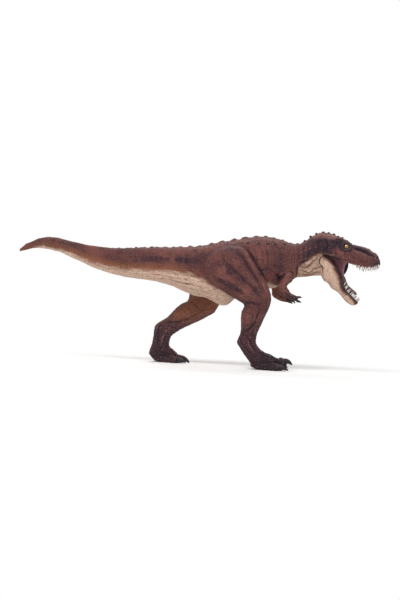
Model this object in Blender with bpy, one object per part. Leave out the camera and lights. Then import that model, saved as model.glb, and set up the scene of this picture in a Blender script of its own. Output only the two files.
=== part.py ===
"""Toy tyrannosaur: a striding, hollow-bodied figure whose lower jaw swings on a pin.

Metres, +Z up, head towards +X, soles on z = 0, the object's middle at x = 0.
The right side is -Y.
"""

import math

import bmesh
import bpy
from mathutils import Matrix, Vector

# Lengths along the body
TAIL_LENGTH = 0.1129
TORSO_REAR_LENGTH = 0.0842
TORSO_FRONT_LENGTH = 0.0652
NECK_LENGTH = 0.0255
SNOUT_LENGTH = 0.0526

# Trunk and head sizes
HIP_HEIGHT = 0.095
TRUNK_DEPTH = 0.050
TRUNK_HALF_WIDTH = 0.023
HINGE_RISE = 0.0093
HEAD_DEPTH = 0.027
HEAD_HALF_WIDTH = 0.015
RING_SPACING = 0.0056

# Casting and seams
WALL = 0.003
SEAM_GAP = 0.0003
PLUG_LENGTH = 0.008
PLUG_ROOT = 0.003
OVERRUN = 0.004

# Legs
LEG_REACH = 0.060
LEG_HALF_WIDTH = 0.012
LEG_SPLAY = 0.0095
HIP_SEAM = 0.0125
HIP_PEG_RADIUS = 0.005
HIP_PEG_LENGTH = 0.006
TOE_LENGTH = 0.0245
TOE_HALF_WIDTH = 0.0050
TOE_HEIGHT = 0.0115
TOE_SPREAD = math.radians(21)

# Arms
ARM_REACH = 0.020
ARM_DROP = 0.035
ARM_HALF_WIDTH = 0.005
ARM_SPLAY = 0.0065
SHOULDER_PLACE = 0.053
SHOULDER_SEAM = 0.0115
SHOULDER_PEG_RADIUS = 0.0025
SHOULDER_PEG_LENGTH = 0.004
FINGER_LENGTH = 0.0075
FINGER_RADIUS = 0.0016
FINGER_GAP = 0.0044

# Jaw, hinge and mouth
JAW_LENGTH = 0.050
JAW_DEPTH = 0.012
JAW_HALF_WIDTH = 0.0115
JAW_INNER_HALF_WIDTH = 0.0078
JAW_GAPE = math.radians(48.6)
JAW_REAR_RADIUS = 0.0056
MOUTH_DEPTH = 0.0045
HINGE_BLOCK_RADIUS = 0.0050
THROAT_RADIUS = 0.0094
PIN_RADIUS = 0.0016
PIN_GAP = 0.00015
PIN_BITE = 0.0022
JAW_GAP = 0.0005
LIP_WALL = 0.0026
WEB_REACH = 0.0212
LINING_WALL = 0.0011
PALATE_WALL = 0.0012
TONGUE_HALF_WIDTH = 0.0042

# Teeth, eyes and scutes
GUM_DEPTH = 0.0022
GUM_WALL = 0.0018
UPPER_TOOTH_LENGTH = 0.0048
LOWER_TOOTH_LENGTH = 0.0034
TOOTH_RADIUS = 0.0008
TOOTH_PITCH = 0.0031
EYE_RADIUS = 0.0027
EYE_AHEAD = 0.0187
EYE_RISE = 0.0147
EYE_PROUD = 0.0012
SCUTE_PITCH = 0.0068
SCUTE_RADIUS = 0.0026
SCUTE_HEIGHT = 0.0024
TAIL_SCUTES_LENGTH = 0.014
CREST_LENGTH = 0.026

# Facets and roundness
SKIN_POWER = 2.3
LIP_POWER = 7
TRUNK_SIDES = 24
LIMB_SIDES = 18
SMALL_SIDES = 10
ROUND_SIDES = 32
SPIKE_SIDES = 6
BALL_SIDES = 16
BALL_RINGS = 10
HIP_PEG_SIDES = 6
SHOULDER_PEG_SIDES = 4
ROW_STEP = 0.5
WRIST_RINGS = 4
JAW_SWEEP_START = math.radians(40)
JAW_SWEEP = math.radians(140)
JAW_SWEEP_STEPS = 8
CREASE = math.radians(40)

# Trunk sections: place (-2 tail tip, -1 tail seam, 0 hips, 1 neck seam), top, belly, half width
TRUNK_SHARES = (
    (-2.00, 0.115, 0.064, 0.06),
    (-1.96, 0.198, 0.090, 0.09),
    (-1.91, 0.273, 0.128, 0.12),
    (-1.84, 0.343, 0.146, 0.16),
    (-1.76, 0.373, 0.131, 0.18),
    (-1.67, 0.362, 0.089, 0.20),
    (-1.54, 0.299, -0.031, 0.24),
    (-1.40, 0.248, -0.157, 0.29),
    (-1.26, 0.226, -0.249, 0.34),
    (-1.13, 0.234, -0.309, 0.40),
    (-1.00, 0.258, -0.334, 0.48),
    (-0.82, 0.284, -0.363, 0.57),
    (-0.64, 0.300, -0.434, 0.66),
    (-0.48, 0.320, -0.540, 0.76),
    (-0.32, 0.356, -0.612, 0.83),
    (-0.19, 0.413, -0.668, 0.90),
    (0.00, 0.478, -0.730, 0.96),
    (0.12, 0.509, -0.640, 0.98),
    (0.25, 0.548, -0.563, 1.00),
    (0.38, 0.584, -0.496, 1.00),
    (0.54, 0.598, -0.427, 0.97),
    (0.69, 0.572, -0.374, 0.88),
    (0.83, 0.521, -0.315, 0.78),
    (1.00, 0.480, -0.163, 0.65),
)

# Neck and head sections: place (0 neck seam, 1 hinge, 2 snout), top, bottom, half width
HEAD_SHARES = (
    (0.22, 0.60, -0.60, 0.93),
    (0.44, 0.73, -0.59, 0.91),
    (0.65, 0.88, -0.54, 0.92),
    (0.84, 0.95, -0.51, 0.96),
    (1.03, 0.98, -0.44, 1.00),
    (1.15, 0.90, -0.40, 1.00),
    (1.26, 0.80, -0.37, 0.97),
    (1.37, 0.73, -0.36, 0.92),
    (1.48, 0.61, -0.36, 0.84),
    (1.59, 0.52, -0.36, 0.76),
    (1.70, 0.49, -0.36, 0.71),
    (1.80, 0.42, -0.34, 0.67),
    (1.895, 0.29, -0.29, 0.58),
    (1.966, 0.14, -0.21, 0.44),
    (2.00, 0.00, -0.14, 0.24),
)

# Lip line of the upper head: place along the snout, height over the hinge
LIP_SHARES = (
    (0.12, 0.110),
    (0.16, 0.052),
    (0.27, -0.007),
    (0.38, -0.011),
    (0.49, -0.056),
    (0.60, -0.119),
    (0.71, -0.170),
    (0.81, -0.159),
    (0.90, -0.133),
    (1.00, -0.056),
    (1.10, -0.020),
)

# Roof of the space that the jaw, teeth and tongue close into: place along the snout, height
ROOF_SHARES = (
    (-0.11, 0.27),
    (0.20, 0.27),
    (0.42, 0.16),
    (0.60, 0.09),
    (0.80, 0.06),
    (0.89, 0.04),
)

# Roof of the narrower slot that the cheek webs swing up into
WEB_ROOF_SHARES = (
    (-0.11, 0.27),
    (0.06, 0.35),
    (0.22, 0.44),
    (0.38, 0.45),
    (0.44, 0.26),
)

# Upper and front edges of the cheek web in the jaw's frame, as shares of its reach
WEB_EDGE_SHARES = (
    (0.19, 0.39),
    (0.43, 0.555),
    (0.62, 0.74),
    (0.65, 0.58),
    (0.74, 0.43),
    (0.86, 0.31),
    (0.93, 0.22),
)
WEB_WIDTH_SHARE = 0.94
WEB_ROOT_RADIUS = 0.0064
WEB_ROOT_TURNS = (math.radians(10), math.radians(52), math.radians(98))

# Lower jaw sections in its own frame, hinge at zero: lip along, lip up, chin along, chin up, half width
JAW_SHARES = (
    (-0.063, 0.409, -0.006, -0.500, 0.98),
    (0.019, 0.530, 0.073, -0.766, 1.00),
    (0.139, 0.544, 0.152, -0.934, 1.00),
    (0.249, 0.496, 0.261, -0.924, 1.00),
    (0.358, 0.383, 0.377, -0.852, 0.97),
    (0.457, 0.232, 0.481, -0.789, 0.93),
    (0.528, 0.050, 0.569, -0.725, 0.87),
    (0.611, -0.100, 0.695, -0.709, 0.80),
    (0.716, -0.143, 0.801, -0.711, 0.72),
    (0.796, -0.081, 0.891, -0.664, 0.66),
    (0.878, -0.059, 0.970, -0.507, 0.58),
    (0.938, -0.026, 1.009, -0.285, 0.48),
    (0.992, 0.012, 1.009, -0.031, 0.28),
)

# Rows of the jaw table where the throat, the mouth trough, its lining, the webs and the gums lie
THROAT_ROWS = (0.5, 1, 2, 3)
TROUGH_ROWS = (0, 10.5)
LINING_ROWS = (2.5, 10.3)
WEB_ROWS = (4.4, 3.5, 2.6)
GUM_ROWS = (5.5, 10.3)
FRONT_WALL_ROWS = 0.35
REAR_OPEN_ROWS = 0.3
LOWER_TOOTH_ROWS = 0.66

# Tongue in the jaw's frame: along, top, underside, half width
TONGUE_SHARES = (
    (0.28, 0.28, 0.235, 0.70),
    (0.36, 0.42, 0.155, 0.95),
    (0.42, 0.48, 0.075, 1.00),
    (0.47, 0.47, -0.02, 1.00),
    (0.53, 0.40, -0.13, 1.00),
    (0.60, 0.30, -0.245, 0.95),
    (0.65, 0.285, -0.27, 0.88),
    (0.71, 0.33, -0.20, 0.80),
    (0.77, 0.37, -0.06, 0.72),
    (0.83, 0.42, 0.12, 0.55),
    (0.87, 0.36, 0.26, 0.25),
)

# Leg sections, hips at zero: front along, front up, back along, back up, splay, half width
RIGHT_LEG_SHARES = (
    (0.20, 1.195, -0.07, 1.19, 0.42, 0.42),
    (0.31, 1.16, -0.28, 1.12, 0.55, 0.80),
    (0.42, 1.05, -0.39, 1.00, 0.66, 1.00),
    (0.52, 0.93, -0.32, 0.88, 0.75, 1.08),
    (0.60, 0.86, -0.13, 0.79, 0.82, 1.06),
    (0.67, 0.79, 0.08, 0.71, 0.90, 1.00),
    (0.72, 0.73, 0.27, 0.65, 0.97, 0.92),
    (0.73, 0.66, 0.32, 0.62, 1.00, 0.85),
    (0.70, 0.59, 0.28, 0.56, 1.02, 0.80),
    (0.64, 0.51, 0.27, 0.48, 1.03, 0.78),
    (0.59, 0.43, 0.28, 0.41, 1.03, 0.69),
    (0.54, 0.35, 0.27, 0.33, 1.02, 0.62),
    (0.53, 0.27, 0.23, 0.26, 1.00, 0.63),
    (0.58, 0.21, 0.27, 0.21, 1.00, 0.62),
    (0.67, 0.17, 0.33, 0.14, 1.00, 0.68),
    (0.77, 0.15, 0.42, 0.05, 1.00, 0.76),
    (0.83, 0.09, 0.49, 0.01, 1.00, 0.72),
)
LEFT_LEG_SHARES = (
    (0.12, 1.195, -0.18, 1.18, 0.42, 0.42),
    (0.22, 1.13, -0.42, 1.09, 0.55, 0.80),
    (0.27, 1.01, -0.53, 0.97, 0.66, 1.00),
    (0.23, 0.89, -0.61, 0.85, 0.75, 1.08),
    (0.13, 0.79, -0.64, 0.75, 0.82, 1.06),
    (-0.02, 0.70, -0.65, 0.67, 0.90, 1.00),
    (-0.16, 0.62, -0.67, 0.62, 0.97, 0.92),
    (-0.26, 0.52, -0.74, 0.60, 1.00, 0.85),
    (-0.38, 0.47, -0.82, 0.56, 1.02, 0.80),
    (-0.51, 0.42, -0.89, 0.51, 1.03, 0.78),
    (-0.63, 0.38, -0.97, 0.45, 1.03, 0.69),
    (-0.77, 0.33, -1.06, 0.41, 1.02, 0.62),
    (-0.88, 0.27, -1.15, 0.36, 1.00, 0.63),
    (-0.90, 0.22, -1.16, 0.27, 1.00, 0.62),
    (-0.88, 0.16, -1.17, 0.16, 1.00, 0.67),
    (-0.79, 0.12, -1.19, 0.07, 1.00, 0.74),
    (-0.72, 0.08, -1.10, 0.01, 1.00, 0.72),
)
RIGHT_FOOT_SHARE = 0.525
LEFT_FOOT_SHARE = -1.06

# Toe and claw sections: along, half width, top, underside; toes from the inner to the outer one
TOE_SHARES = (
    (-0.25, 1.00, 0.95, -0.12),
    (0.10, 1.05, 1.00, -0.13),
    (0.35, 0.96, 0.86, -0.13),
    (0.55, 0.88, 0.72, -0.13),
    (0.75, 0.92, 0.72, -0.13),
    (0.92, 0.78, 0.62, -0.10),
    (0.98, 0.46, 0.58, 0.08),
    (1.12, 0.40, 0.54, 0.10),
    (1.24, 0.26, 0.40, 0.08),
    (1.33, 0.06, 0.17, 0.05),
)
TOE_LENGTH_SHARES = (0.84, 1.0, 0.86)
TOE_HEIGHT_SHARES = (0.87, 1.0, 0.92)
TOE_ROOT_SHARE = 0.55

# Arm sections, shoulder at zero: front along, front up, back along, back up, splay, half width
RIGHT_ARM_SHARES = (
    (0.36, -0.07, -0.12, -0.12, 0.77, 0.80),
    (0.42, -0.26, -0.16, -0.29, 0.88, 1.02),
    (0.27, -0.41, -0.20, -0.43, 0.97, 1.00),
    (0.25, -0.51, -0.18, -0.56, 1.00, 0.92),
    (0.36, -0.59, -0.06, -0.66, 0.97, 0.84),
    (0.50, -0.66, 0.14, -0.74, 0.85, 0.72),
    (0.62, -0.71, 0.35, -0.81, 0.69, 0.60),
    (0.74, -0.73, 0.53, -0.86, 0.62, 0.56),
    (0.82, -0.76, 0.68, -0.86, 0.58, 0.46),
)
LEFT_ARM_SHARES = (
    (0.12, -0.09, -0.36, -0.15, 0.77, 0.80),
    (0.14, -0.31, -0.46, -0.34, 0.88, 1.02),
    (0.01, -0.49, -0.59, -0.51, 0.97, 1.00),
    (-0.06, -0.59, -0.61, -0.64, 1.00, 0.96),
    (-0.04, -0.66, -0.56, -0.75, 0.97, 0.88),
    (0.09, -0.70, -0.26, -0.85, 0.85, 0.74),
    (0.24, -0.76, 0.00, -0.90, 0.69, 0.60),
    (0.36, -0.79, 0.22, -0.91, 0.62, 0.56),
    (0.46, -0.83, 0.34, -0.92, 0.58, 0.46),
)
TOOTH_SIZE_SHARES = (0.78, 1.0, 0.66, 0.92, 0.72)
UPPER_GUM_SHARE = 0.49
PALATE_SHARE = 0.47
HIP_PEG_SHARE = 1.02
SHOULDER_PEG_SHARE = -0.20
FINGER_DROP_SHARE = 0.45
STEM_SHARE = 0.9
POINT_SHARE = 0.2

# Places worked out from the sizes
REAR_REACH = TORSO_REAR_LENGTH + TAIL_LENGTH
FRONT_REACH = TORSO_FRONT_LENGTH + NECK_LENGTH + SNOUT_LENGTH
HIP_X = (REAR_REACH - FRONT_REACH) / 2
TAIL_SEAM_X = HIP_X - TORSO_REAR_LENGTH
TAIL_TIP_X = TAIL_SEAM_X - TAIL_LENGTH
NECK_SEAM_X = HIP_X + TORSO_FRONT_LENGTH
HINGE = Vector((NECK_SEAM_X + NECK_LENGTH, 0, HIP_HEIGHT + HINGE_RISE))
SNOUT_X = HINGE.x + SNOUT_LENGTH
HINGE_BLOCK_HALF_WIDTH = JAW_INNER_HALF_WIDTH - JAW_GAP
WELL_HALF_WIDTH = JAW_HALF_WIDTH + JAW_GAP
CAVITY_HALF_WIDTH = HIP_SEAM - WALL

MATERIAL_LOOKS = {
    "brown_skin": ((0.20, 0.085, 0.065, 1), 0.55),
    "cream_skin": ((0.66, 0.47, 0.36, 1), 0.55),
    "mouth_pink": ((0.33, 0.10, 0.11, 1), 0.40),
    "tongue_mauve": ((0.17, 0.06, 0.07, 1), 0.35),
    "tooth_white": ((0.80, 0.78, 0.72, 1), 0.35),
    "eye_yellow": ((0.75, 0.50, 0.10, 1), 0.12),
    "steel": ((0.55, 0.55, 0.57, 1), 0.35),
}


def clear_scene():
    for obj in list(bpy.data.objects):
        bpy.data.objects.remove(obj)


def make_collection(name):
    collection = bpy.data.collections.new(name)
    bpy.context.scene.collection.children.link(collection)
    return collection


def make_material(name, look):
    colour, roughness = MATERIAL_LOOKS[look]
    material = bpy.data.materials.new(name)
    material.use_nodes = True
    shader = material.node_tree.nodes["Principled BSDF"]
    shader.inputs["Base Color"].default_value = colour
    shader.inputs["Roughness"].default_value = roughness
    shader.inputs["Metallic"].default_value = float(look == "steel")
    return material


def hermite(places, values, place):
    """A smooth curve through the values, read at one place."""
    last = len(places) - 1
    index = 0
    while index < last - 1 and place > places[index + 1]:
        index += 1

    def slope(i):
        before, after = max(i - 1, 0), min(i + 1, last)
        return (values[after] - values[before]) / (places[after] - places[before])

    span = places[index + 1] - places[index]
    t = min(max((place - places[index]) / span, 0), 1)
    start, end = values[index], values[index + 1]
    bend_in, bend_out = slope(index) * span, slope(index + 1) * span
    return (
        (2 * t**3 - 3 * t**2 + 1) * start
        + (t**3 - 2 * t**2 + t) * bend_in
        + (3 * t**2 - 2 * t**3) * end
        + (t**3 - t**2) * bend_out
    )


def spine_columns():
    """x, top, bottom and half width of every section from tail tip to snout."""
    rows = []
    for place, top, bottom, width in TRUNK_SHARES:
        if place < -1:
            x = TAIL_SEAM_X + (place + 1) * TAIL_LENGTH
        elif place < 0:
            x = HIP_X + place * TORSO_REAR_LENGTH
        else:
            x = HIP_X + place * TORSO_FRONT_LENGTH
        top_z = HIP_HEIGHT + top * TRUNK_DEPTH
        bottom_z = HIP_HEIGHT + bottom * TRUNK_DEPTH
        rows.append((x, top_z, bottom_z, width * TRUNK_HALF_WIDTH))
    for place, top, bottom, width in HEAD_SHARES:
        if place < 1:
            x = NECK_SEAM_X + place * NECK_LENGTH
        else:
            x = HINGE.x + (place - 1) * SNOUT_LENGTH
        top_z = HINGE.z + top * HEAD_DEPTH
        bottom_z = HINGE.z + bottom * HEAD_DEPTH
        rows.append((x, top_z, bottom_z, width * HEAD_HALF_WIDTH))
    return tuple(zip(*rows))


SPINE_COLUMNS = spine_columns()


def section_at(x):
    """Top, bottom and half width of the animal at x."""
    places, *columns = SPINE_COLUMNS
    return [hermite(places, column, x) for column in columns]


def skin_half_width(x, z):
    """How far the skin lies from the middle at one place and height."""
    top, bottom, width = section_at(x)
    rise = abs(z - (top + bottom) / 2) / ((top - bottom) / 2)
    return width * (1 - rise**SKIN_POWER) ** (1 / SKIN_POWER)


def spread(start, end, spacing):
    """Evenly spaced places from start to end, about one spacing apart."""
    count = max(round((end - start) / spacing), 2)
    return [start + (end - start) * i / count for i in range(count + 1)]


def oval(middle, rise, reach, sides, top_power=SKIN_POWER):
    """A soft oval round middle: rise and reach are its two half axes."""
    ring = []
    for i in range(sides):
        turn = math.tau * i / sides
        c, s = math.cos(turn), math.sin(turn)
        power = top_power if c > 0 else SKIN_POWER
        fullness = (abs(c) ** power + abs(s) ** power) ** (-1 / power)
        ring.append(middle + rise * c * fullness + reach * s * fullness)
    return ring


def upright_oval(x, top, bottom, half_width, sides=TRUNK_SIDES):
    rise = Vector((0, 0, (top - bottom) / 2))
    return oval(Vector((x, 0, (top + bottom) / 2)), rise, Vector((0, half_width, 0)), sides)


def box_ring(lip, floor, half_width):
    """Four corners of a flat rectangle across the body, from lip down to floor."""
    across = Vector((0, half_width, 0))
    return [lip + across, floor + across, floor - across, lip - across]


def finish_mesh(name, mesh, collection):
    """Turns the faces outwards and links an object that holds the mesh."""
    work = bmesh.new()
    work.from_mesh(mesh)
    bmesh.ops.recalc_face_normals(work, faces=work.faces)
    work.to_mesh(mesh)
    work.free()
    obj = bpy.data.objects.new(name, mesh)
    collection.objects.link(obj)
    return obj


def loft(name, rings, collection):
    """A closed solid through rings that have the same number of points."""
    sides = len(rings[0])
    points = [point for ring in rings for point in ring]
    faces = []
    for row in range(len(rings) - 1):
        here, ahead = row * sides, (row + 1) * sides
        for i in range(sides):
            j = (i + 1) % sides
            faces.append((here + i, here + j, ahead + j, ahead + i))
    faces.append(tuple(reversed(range(sides))))
    faces.append(tuple(range(len(points) - sides, len(points))))
    mesh = bpy.data.meshes.new(name)
    mesh.from_pydata(points, [], faces)
    return finish_mesh(name, mesh, collection)


def bar(name, start, end, radius, sides, collection, end_radius=None):
    """A round bar from start to end, or a tapered one with end_radius."""
    work = bmesh.new()
    axis = end - start
    turn = axis.to_track_quat("Z", "Y").to_matrix().to_4x4()
    bmesh.ops.create_cone(
        work,
        cap_ends=True,
        segments=sides,
        radius1=radius,
        radius2=radius if end_radius is None else end_radius,
        depth=axis.length,
        matrix=Matrix.Translation((start + end) / 2) @ turn,
    )
    mesh = bpy.data.meshes.new(name)
    work.to_mesh(mesh)
    work.free()
    return finish_mesh(name, mesh, collection)


def spike(name, root, tip, radius, collection):
    """A tooth, claw or scute that narrows to a blunt point."""
    return bar(name, root, tip, radius, SPIKE_SIDES, collection, radius * POINT_SHARE)


def ball(name, centre, radius, collection):
    work = bmesh.new()
    bmesh.ops.create_uvsphere(
        work,
        u_segments=BALL_SIDES,
        v_segments=BALL_RINGS,
        radius=radius,
        matrix=Matrix.Translation(centre),
    )
    mesh = bpy.data.meshes.new(name)
    work.to_mesh(mesh)
    work.free()
    return finish_mesh(name, mesh, collection)


def prism(name, outline, near, far, collection):
    """An (x, z) outline, extruded across the body from y = near to y = far."""
    rings = [[Vector((x, y, z)) for x, z in outline] for y in (near, far)]
    return loft(name, rings, collection)


def grouped(name, shapes, collection):
    """Makes one tool of several shapes that lie clear of one another."""
    work = bmesh.new()
    for shape in shapes:
        work.from_mesh(shape.data)
        bpy.data.objects.remove(shape)
    mesh = bpy.data.meshes.new(name)
    work.to_mesh(mesh)
    work.free()
    return finish_mesh(name, mesh, collection)


def hide(tool):
    tool.hide_render = True
    tool.display_type = "WIRE"


def boolean(target, tool, operation):
    """Adds one Boolean and hides its tool from the build."""
    modifier = target.modifiers.new(f"{operation.lower()} {tool.name}", "BOOLEAN")
    modifier.operation = operation
    modifier.object = tool
    hide(tool)


def unite_crossing(target, tools, cutters):
    """Joins tools that cross one another to the target in a single Boolean."""
    crossing = bpy.data.collections.new(f"{target.name} crossing")
    cutters.children.link(crossing)
    for tool in tools:
        cutters.objects.unlink(tool)
        crossing.objects.link(tool)
        hide(tool)
    modifier = target.modifiers.new("unite crossing", "BOOLEAN")
    modifier.operation = "UNION"
    modifier.operand_type = "COLLECTION"
    modifier.collection = crossing


def unite(target, *tools):
    for tool in tools:
        boolean(target, tool, "UNION")


def cut(target, *tools):
    for tool in tools:
        boolean(target, tool, "DIFFERENCE")


def dress(obj, look):
    obj.data.materials.append(make_material(f"{obj.name} {look}", look))
    obj.data.shade_smooth()
    obj.data.set_sharp_from_angle(angle=CREASE)


def trunk_rings(start, end, inset=0.0, widest=None):
    """Rings of the animal from start to end, drawn in by inset and held to a widest half width."""
    rings = []
    for x in spread(start, end, RING_SPACING):
        top, bottom, width = section_at(x)
        width -= inset
        if widest is not None:
            width = min(width, widest)
        rings.append(upright_oval(x, top - inset, bottom + inset, width))
    return rings


def plug(name, start, end, cutters):
    """The lip by which a glued end piece sits in the open torso."""
    return loft(name, trunk_rings(start, end, WALL + SEAM_GAP, CAVITY_HALF_WIDTH - SEAM_GAP), cutters)


def add_scutes(target, start, end, cutters):
    """A row of keeled bumps along the middle of the back, clear of the seams."""
    count = max(int((end - start) / SCUTE_PITCH), 1)
    scutes = []
    for i in range(count):
        x = start + (end - start) * (i + 0.5) / count
        top = section_at(x)[0]
        foot = Vector((x, 0, top - SCUTE_HEIGHT))
        tip = Vector((x, 0, top + SCUTE_HEIGHT / 2))
        scutes.append(spike("scute", foot, tip, SCUTE_RADIUS, cutters))
    unite(target, grouped(f"{target.name} scutes", scutes, cutters))


def limb_rings(shares, origin, reach, rise, seam, splay, width, side, grow=0.0):
    """Rings of a leg or an arm, whose face against the body is flat at the seam."""
    columns = tuple(zip(*shares))
    rows = range(len(shares))
    limit = seam if grow else seam + SEAM_GAP
    rings = []
    for row in spread(0, len(shares) - 1, ROW_STEP):
        fx, fz, bx, bz, out, wide = (hermite(rows, column, row) for column in columns)
        front = origin + Vector((fx * reach, 0, fz * rise))
        back = origin + Vector((bx * reach, 0, bz * rise))
        middle = (front + back) / 2 + Vector((0, side * (seam + out * splay), 0))
        half = (front - back) / 2
        half += half.normalized() * grow
        ring = oval(middle, half, Vector((0, wide * width + grow, 0)), LIMB_SIDES)
        for point in ring:
            point.y = side * max(side * point.y, limit)
        rings.append(ring)
    return rings


def leg_rings(side, grow=0.0):
    shares = RIGHT_LEG_SHARES if side < 0 else LEFT_LEG_SHARES
    origin = Vector((HIP_X, 0, 0))
    sizes = (LEG_REACH, HIP_HEIGHT, HIP_SEAM, LEG_SPLAY, LEG_HALF_WIDTH)
    return limb_rings(shares, origin, *sizes, side, grow)


def arm_rings(side, grow=0.0):
    shares = RIGHT_ARM_SHARES if side < 0 else LEFT_ARM_SHARES
    origin = Vector((HIP_X + SHOULDER_PLACE, 0, HIP_HEIGHT))
    sizes = (ARM_REACH, ARM_DROP, SHOULDER_SEAM, ARM_SPLAY, ARM_HALF_WIDTH)
    return limb_rings(shares, origin, *sizes, side, grow)


def hip_peg(name, side, grow, collection):
    """A six-sided peg, so that the glued leg can't turn, or with grow its socket."""
    root = Vector((HIP_X, side * (HIP_SEAM + WALL), HIP_HEIGHT * HIP_PEG_SHARE))
    tip = root.copy()
    tip.y = side * (HIP_SEAM - HIP_PEG_LENGTH - grow)
    return bar(name, root, tip, HIP_PEG_RADIUS + grow, HIP_PEG_SIDES, collection)


def shoulder_peg(name, side, grow, collection):
    """A four-sided peg, or with grow its socket."""
    rise = HIP_HEIGHT + SHOULDER_PEG_SHARE * ARM_DROP
    root = Vector((HIP_X + SHOULDER_PLACE, side * (SHOULDER_SEAM + WALL), rise))
    tip = root.copy()
    tip.y = side * (SHOULDER_SEAM - SHOULDER_PEG_LENGTH - grow)
    return bar(name, root, tip, SHOULDER_PEG_RADIUS + grow, SHOULDER_PEG_SIDES, collection)


def build_torso(parts, cutters):
    """The hollow body casting, open at the neck and the tail, with pockets for the limbs."""
    start, end = TAIL_SEAM_X + SEAM_GAP, NECK_SEAM_X - SEAM_GAP
    torso = loft("torso", trunk_rings(start, end), parts)
    add_scutes(torso, start, end, cutters)
    reach = trunk_rings(start - OVERRUN, end + OVERRUN, WALL, CAVITY_HALF_WIDTH)
    cut(torso, loft("torso cavity", reach, cutters))
    for side in (-1, 1):
        cut(torso, loft(f"hip pocket {side}", leg_rings(side, SEAM_GAP), cutters))
        cut(torso, loft(f"shoulder pocket {side}", arm_rings(side, SEAM_GAP), cutters))
        cut(torso, hip_peg(f"hip socket {side}", side, SEAM_GAP, cutters))
        cut(torso, shoulder_peg(f"shoulder socket {side}", side, SEAM_GAP, cutters))
    dress(torso, "brown_skin")


def build_tail(parts, cutters):
    tail = loft("tail", trunk_rings(TAIL_TIP_X, TAIL_SEAM_X), parts)
    unite(tail, plug("tail plug", TAIL_SEAM_X - PLUG_ROOT, TAIL_SEAM_X + PLUG_LENGTH, cutters))
    add_scutes(tail, TAIL_SEAM_X - TAIL_SCUTES_LENGTH, TAIL_SEAM_X, cutters)
    dress(tail, "brown_skin")


def toe(name, root, heading, length, height, cutters):
    """One padded toe with its claw, flat where it would go under the ground."""
    ahead = Vector((math.cos(heading), math.sin(heading), 0))
    across = Vector((-ahead.y, ahead.x, 0))
    rings = []
    for along, width, top, under in TOE_SHARES:
        middle = root + ahead * along * length
        middle.z = (top + under) / 2 * height
        rise = Vector((0, 0, (top - under) / 2 * height))
        ring = oval(middle, rise, across * width * TOE_HALF_WIDTH, SMALL_SIDES)
        for point in ring:
            point.z = max(point.z, 0)
        rings.append(ring)
    return loft(name, rings, cutters)


def build_leg(name, side, parts, cutters):
    """Thigh, shank, foot and three clawed toes in one moulding, flat at the sole."""
    leg = loft(name, leg_rings(side), parts)
    place_share = RIGHT_FOOT_SHARE if side < 0 else LEFT_FOOT_SHARE
    root = Vector((HIP_X + place_share * LEG_REACH, side * (HIP_SEAM + LEG_SPLAY), 0))
    tools = [hip_peg(f"{name} peg", side, 0.0, cutters)]
    for i, (length_share, height_share) in enumerate(zip(TOE_LENGTH_SHARES, TOE_HEIGHT_SHARES)):
        turn = side * (i - 1)
        knuckle = root + Vector((0, turn * TOE_HALF_WIDTH * TOE_ROOT_SHARE, 0))
        length, height = TOE_LENGTH * length_share, TOE_HEIGHT * height_share
        tools.append(toe(f"{name} toe {i}", knuckle, turn * TOE_SPREAD, length, height, cutters))
    unite_crossing(leg, tools, cutters)
    dress(leg, "brown_skin")


def build_arm(name, side, parts, cutters):
    """Upper arm, forearm and a hand with two claws."""
    rings = arm_rings(side)
    arm = loft(name, rings, parts)
    wrist, palm = (sum(ring, Vector()) / len(ring) for ring in rings[-WRIST_RINGS :: WRIST_RINGS - 1])
    ahead = (palm - wrist).normalized()
    for i in (-1, 1):
        start = palm - ahead * FINGER_RADIUS * 2 + Vector((0, i * FINGER_GAP / 2, 0))
        end = start + (ahead - Vector((0, 0, FINGER_DROP_SHARE))).normalized() * FINGER_LENGTH
        unite(arm, spike(f"{name} finger {i}", start, end, FINGER_RADIUS, cutters))
    unite(arm, shoulder_peg(f"{name} peg", side, 0.0, cutters))
    dress(arm, "brown_skin")


def along_snout(share):
    return HINGE.x + share * SNOUT_LENGTH


def height_at(shares, x):
    """Height of a table's line over the ground at x."""
    places, heights = zip(*shares)
    return HINGE.z + HEAD_DEPTH * hermite(places, heights, (x - HINGE.x) / SNOUT_LENGTH)


def snout_points(shares):
    return [(along_snout(place), HINGE.z + rise * HEAD_DEPTH) for place, rise in shares]


def well_half_width(x):
    return min(WELL_HALF_WIDTH, section_at(x)[2] - LIP_WALL)


def between(start, end, stops):
    """Start, the stops that lie between, and end, so that pieces that nest share their rings."""
    return [start, *(stop for stop in stops if start < stop < end), end]


def snout_boxes(start, end, shares, top, bottom, inset):
    """Box rings in the mouth well: top and bottom are heights over a table's line."""
    rings = []
    for x in between(start, end, spread(HINGE.x, SNOUT_X, RING_SPACING / 2)):
        line = Vector((x, 0, height_at(shares, x)))
        upper, lower = line + Vector((0, 0, top)), line + Vector((0, 0, bottom))
        rings.append(box_ring(upper, lower, well_half_width(x) - inset))
    return rings


def jaw_section(row):
    """Lip point, chin point, the way up between them, and the width share, in the jaw's frame."""
    columns = (hermite(range(len(JAW_SHARES)), column, row) for column in zip(*JAW_SHARES))
    lip_along, lip_up, chin_along, chin_up, width = columns
    lip = Vector((lip_along * JAW_LENGTH, 0, lip_up * JAW_DEPTH))
    chin = Vector((chin_along * JAW_LENGTH, 0, chin_up * JAW_DEPTH))
    return lip, chin, (lip - chin).normalized(), width


def jaw_boxes(rows, rise, depth, inset):
    """Box rings in the jaw's trough, from rise over the lip line to depth under it."""
    rings = []
    for row in between(*rows, spread(0, len(JAW_SHARES) - 1, ROW_STEP)):
        lip, chin, up, width = jaw_section(row)
        rings.append(box_ring(lip + up * rise, lip - up * depth, width * JAW_INNER_HALF_WIDTH - inset))
    return rings


def opened(point):
    """A point of the jaw's frame, in the world with the jaw at its gape."""
    return HINGE + Matrix.Rotation(JAW_GAPE, 3, "Y") @ point


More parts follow.
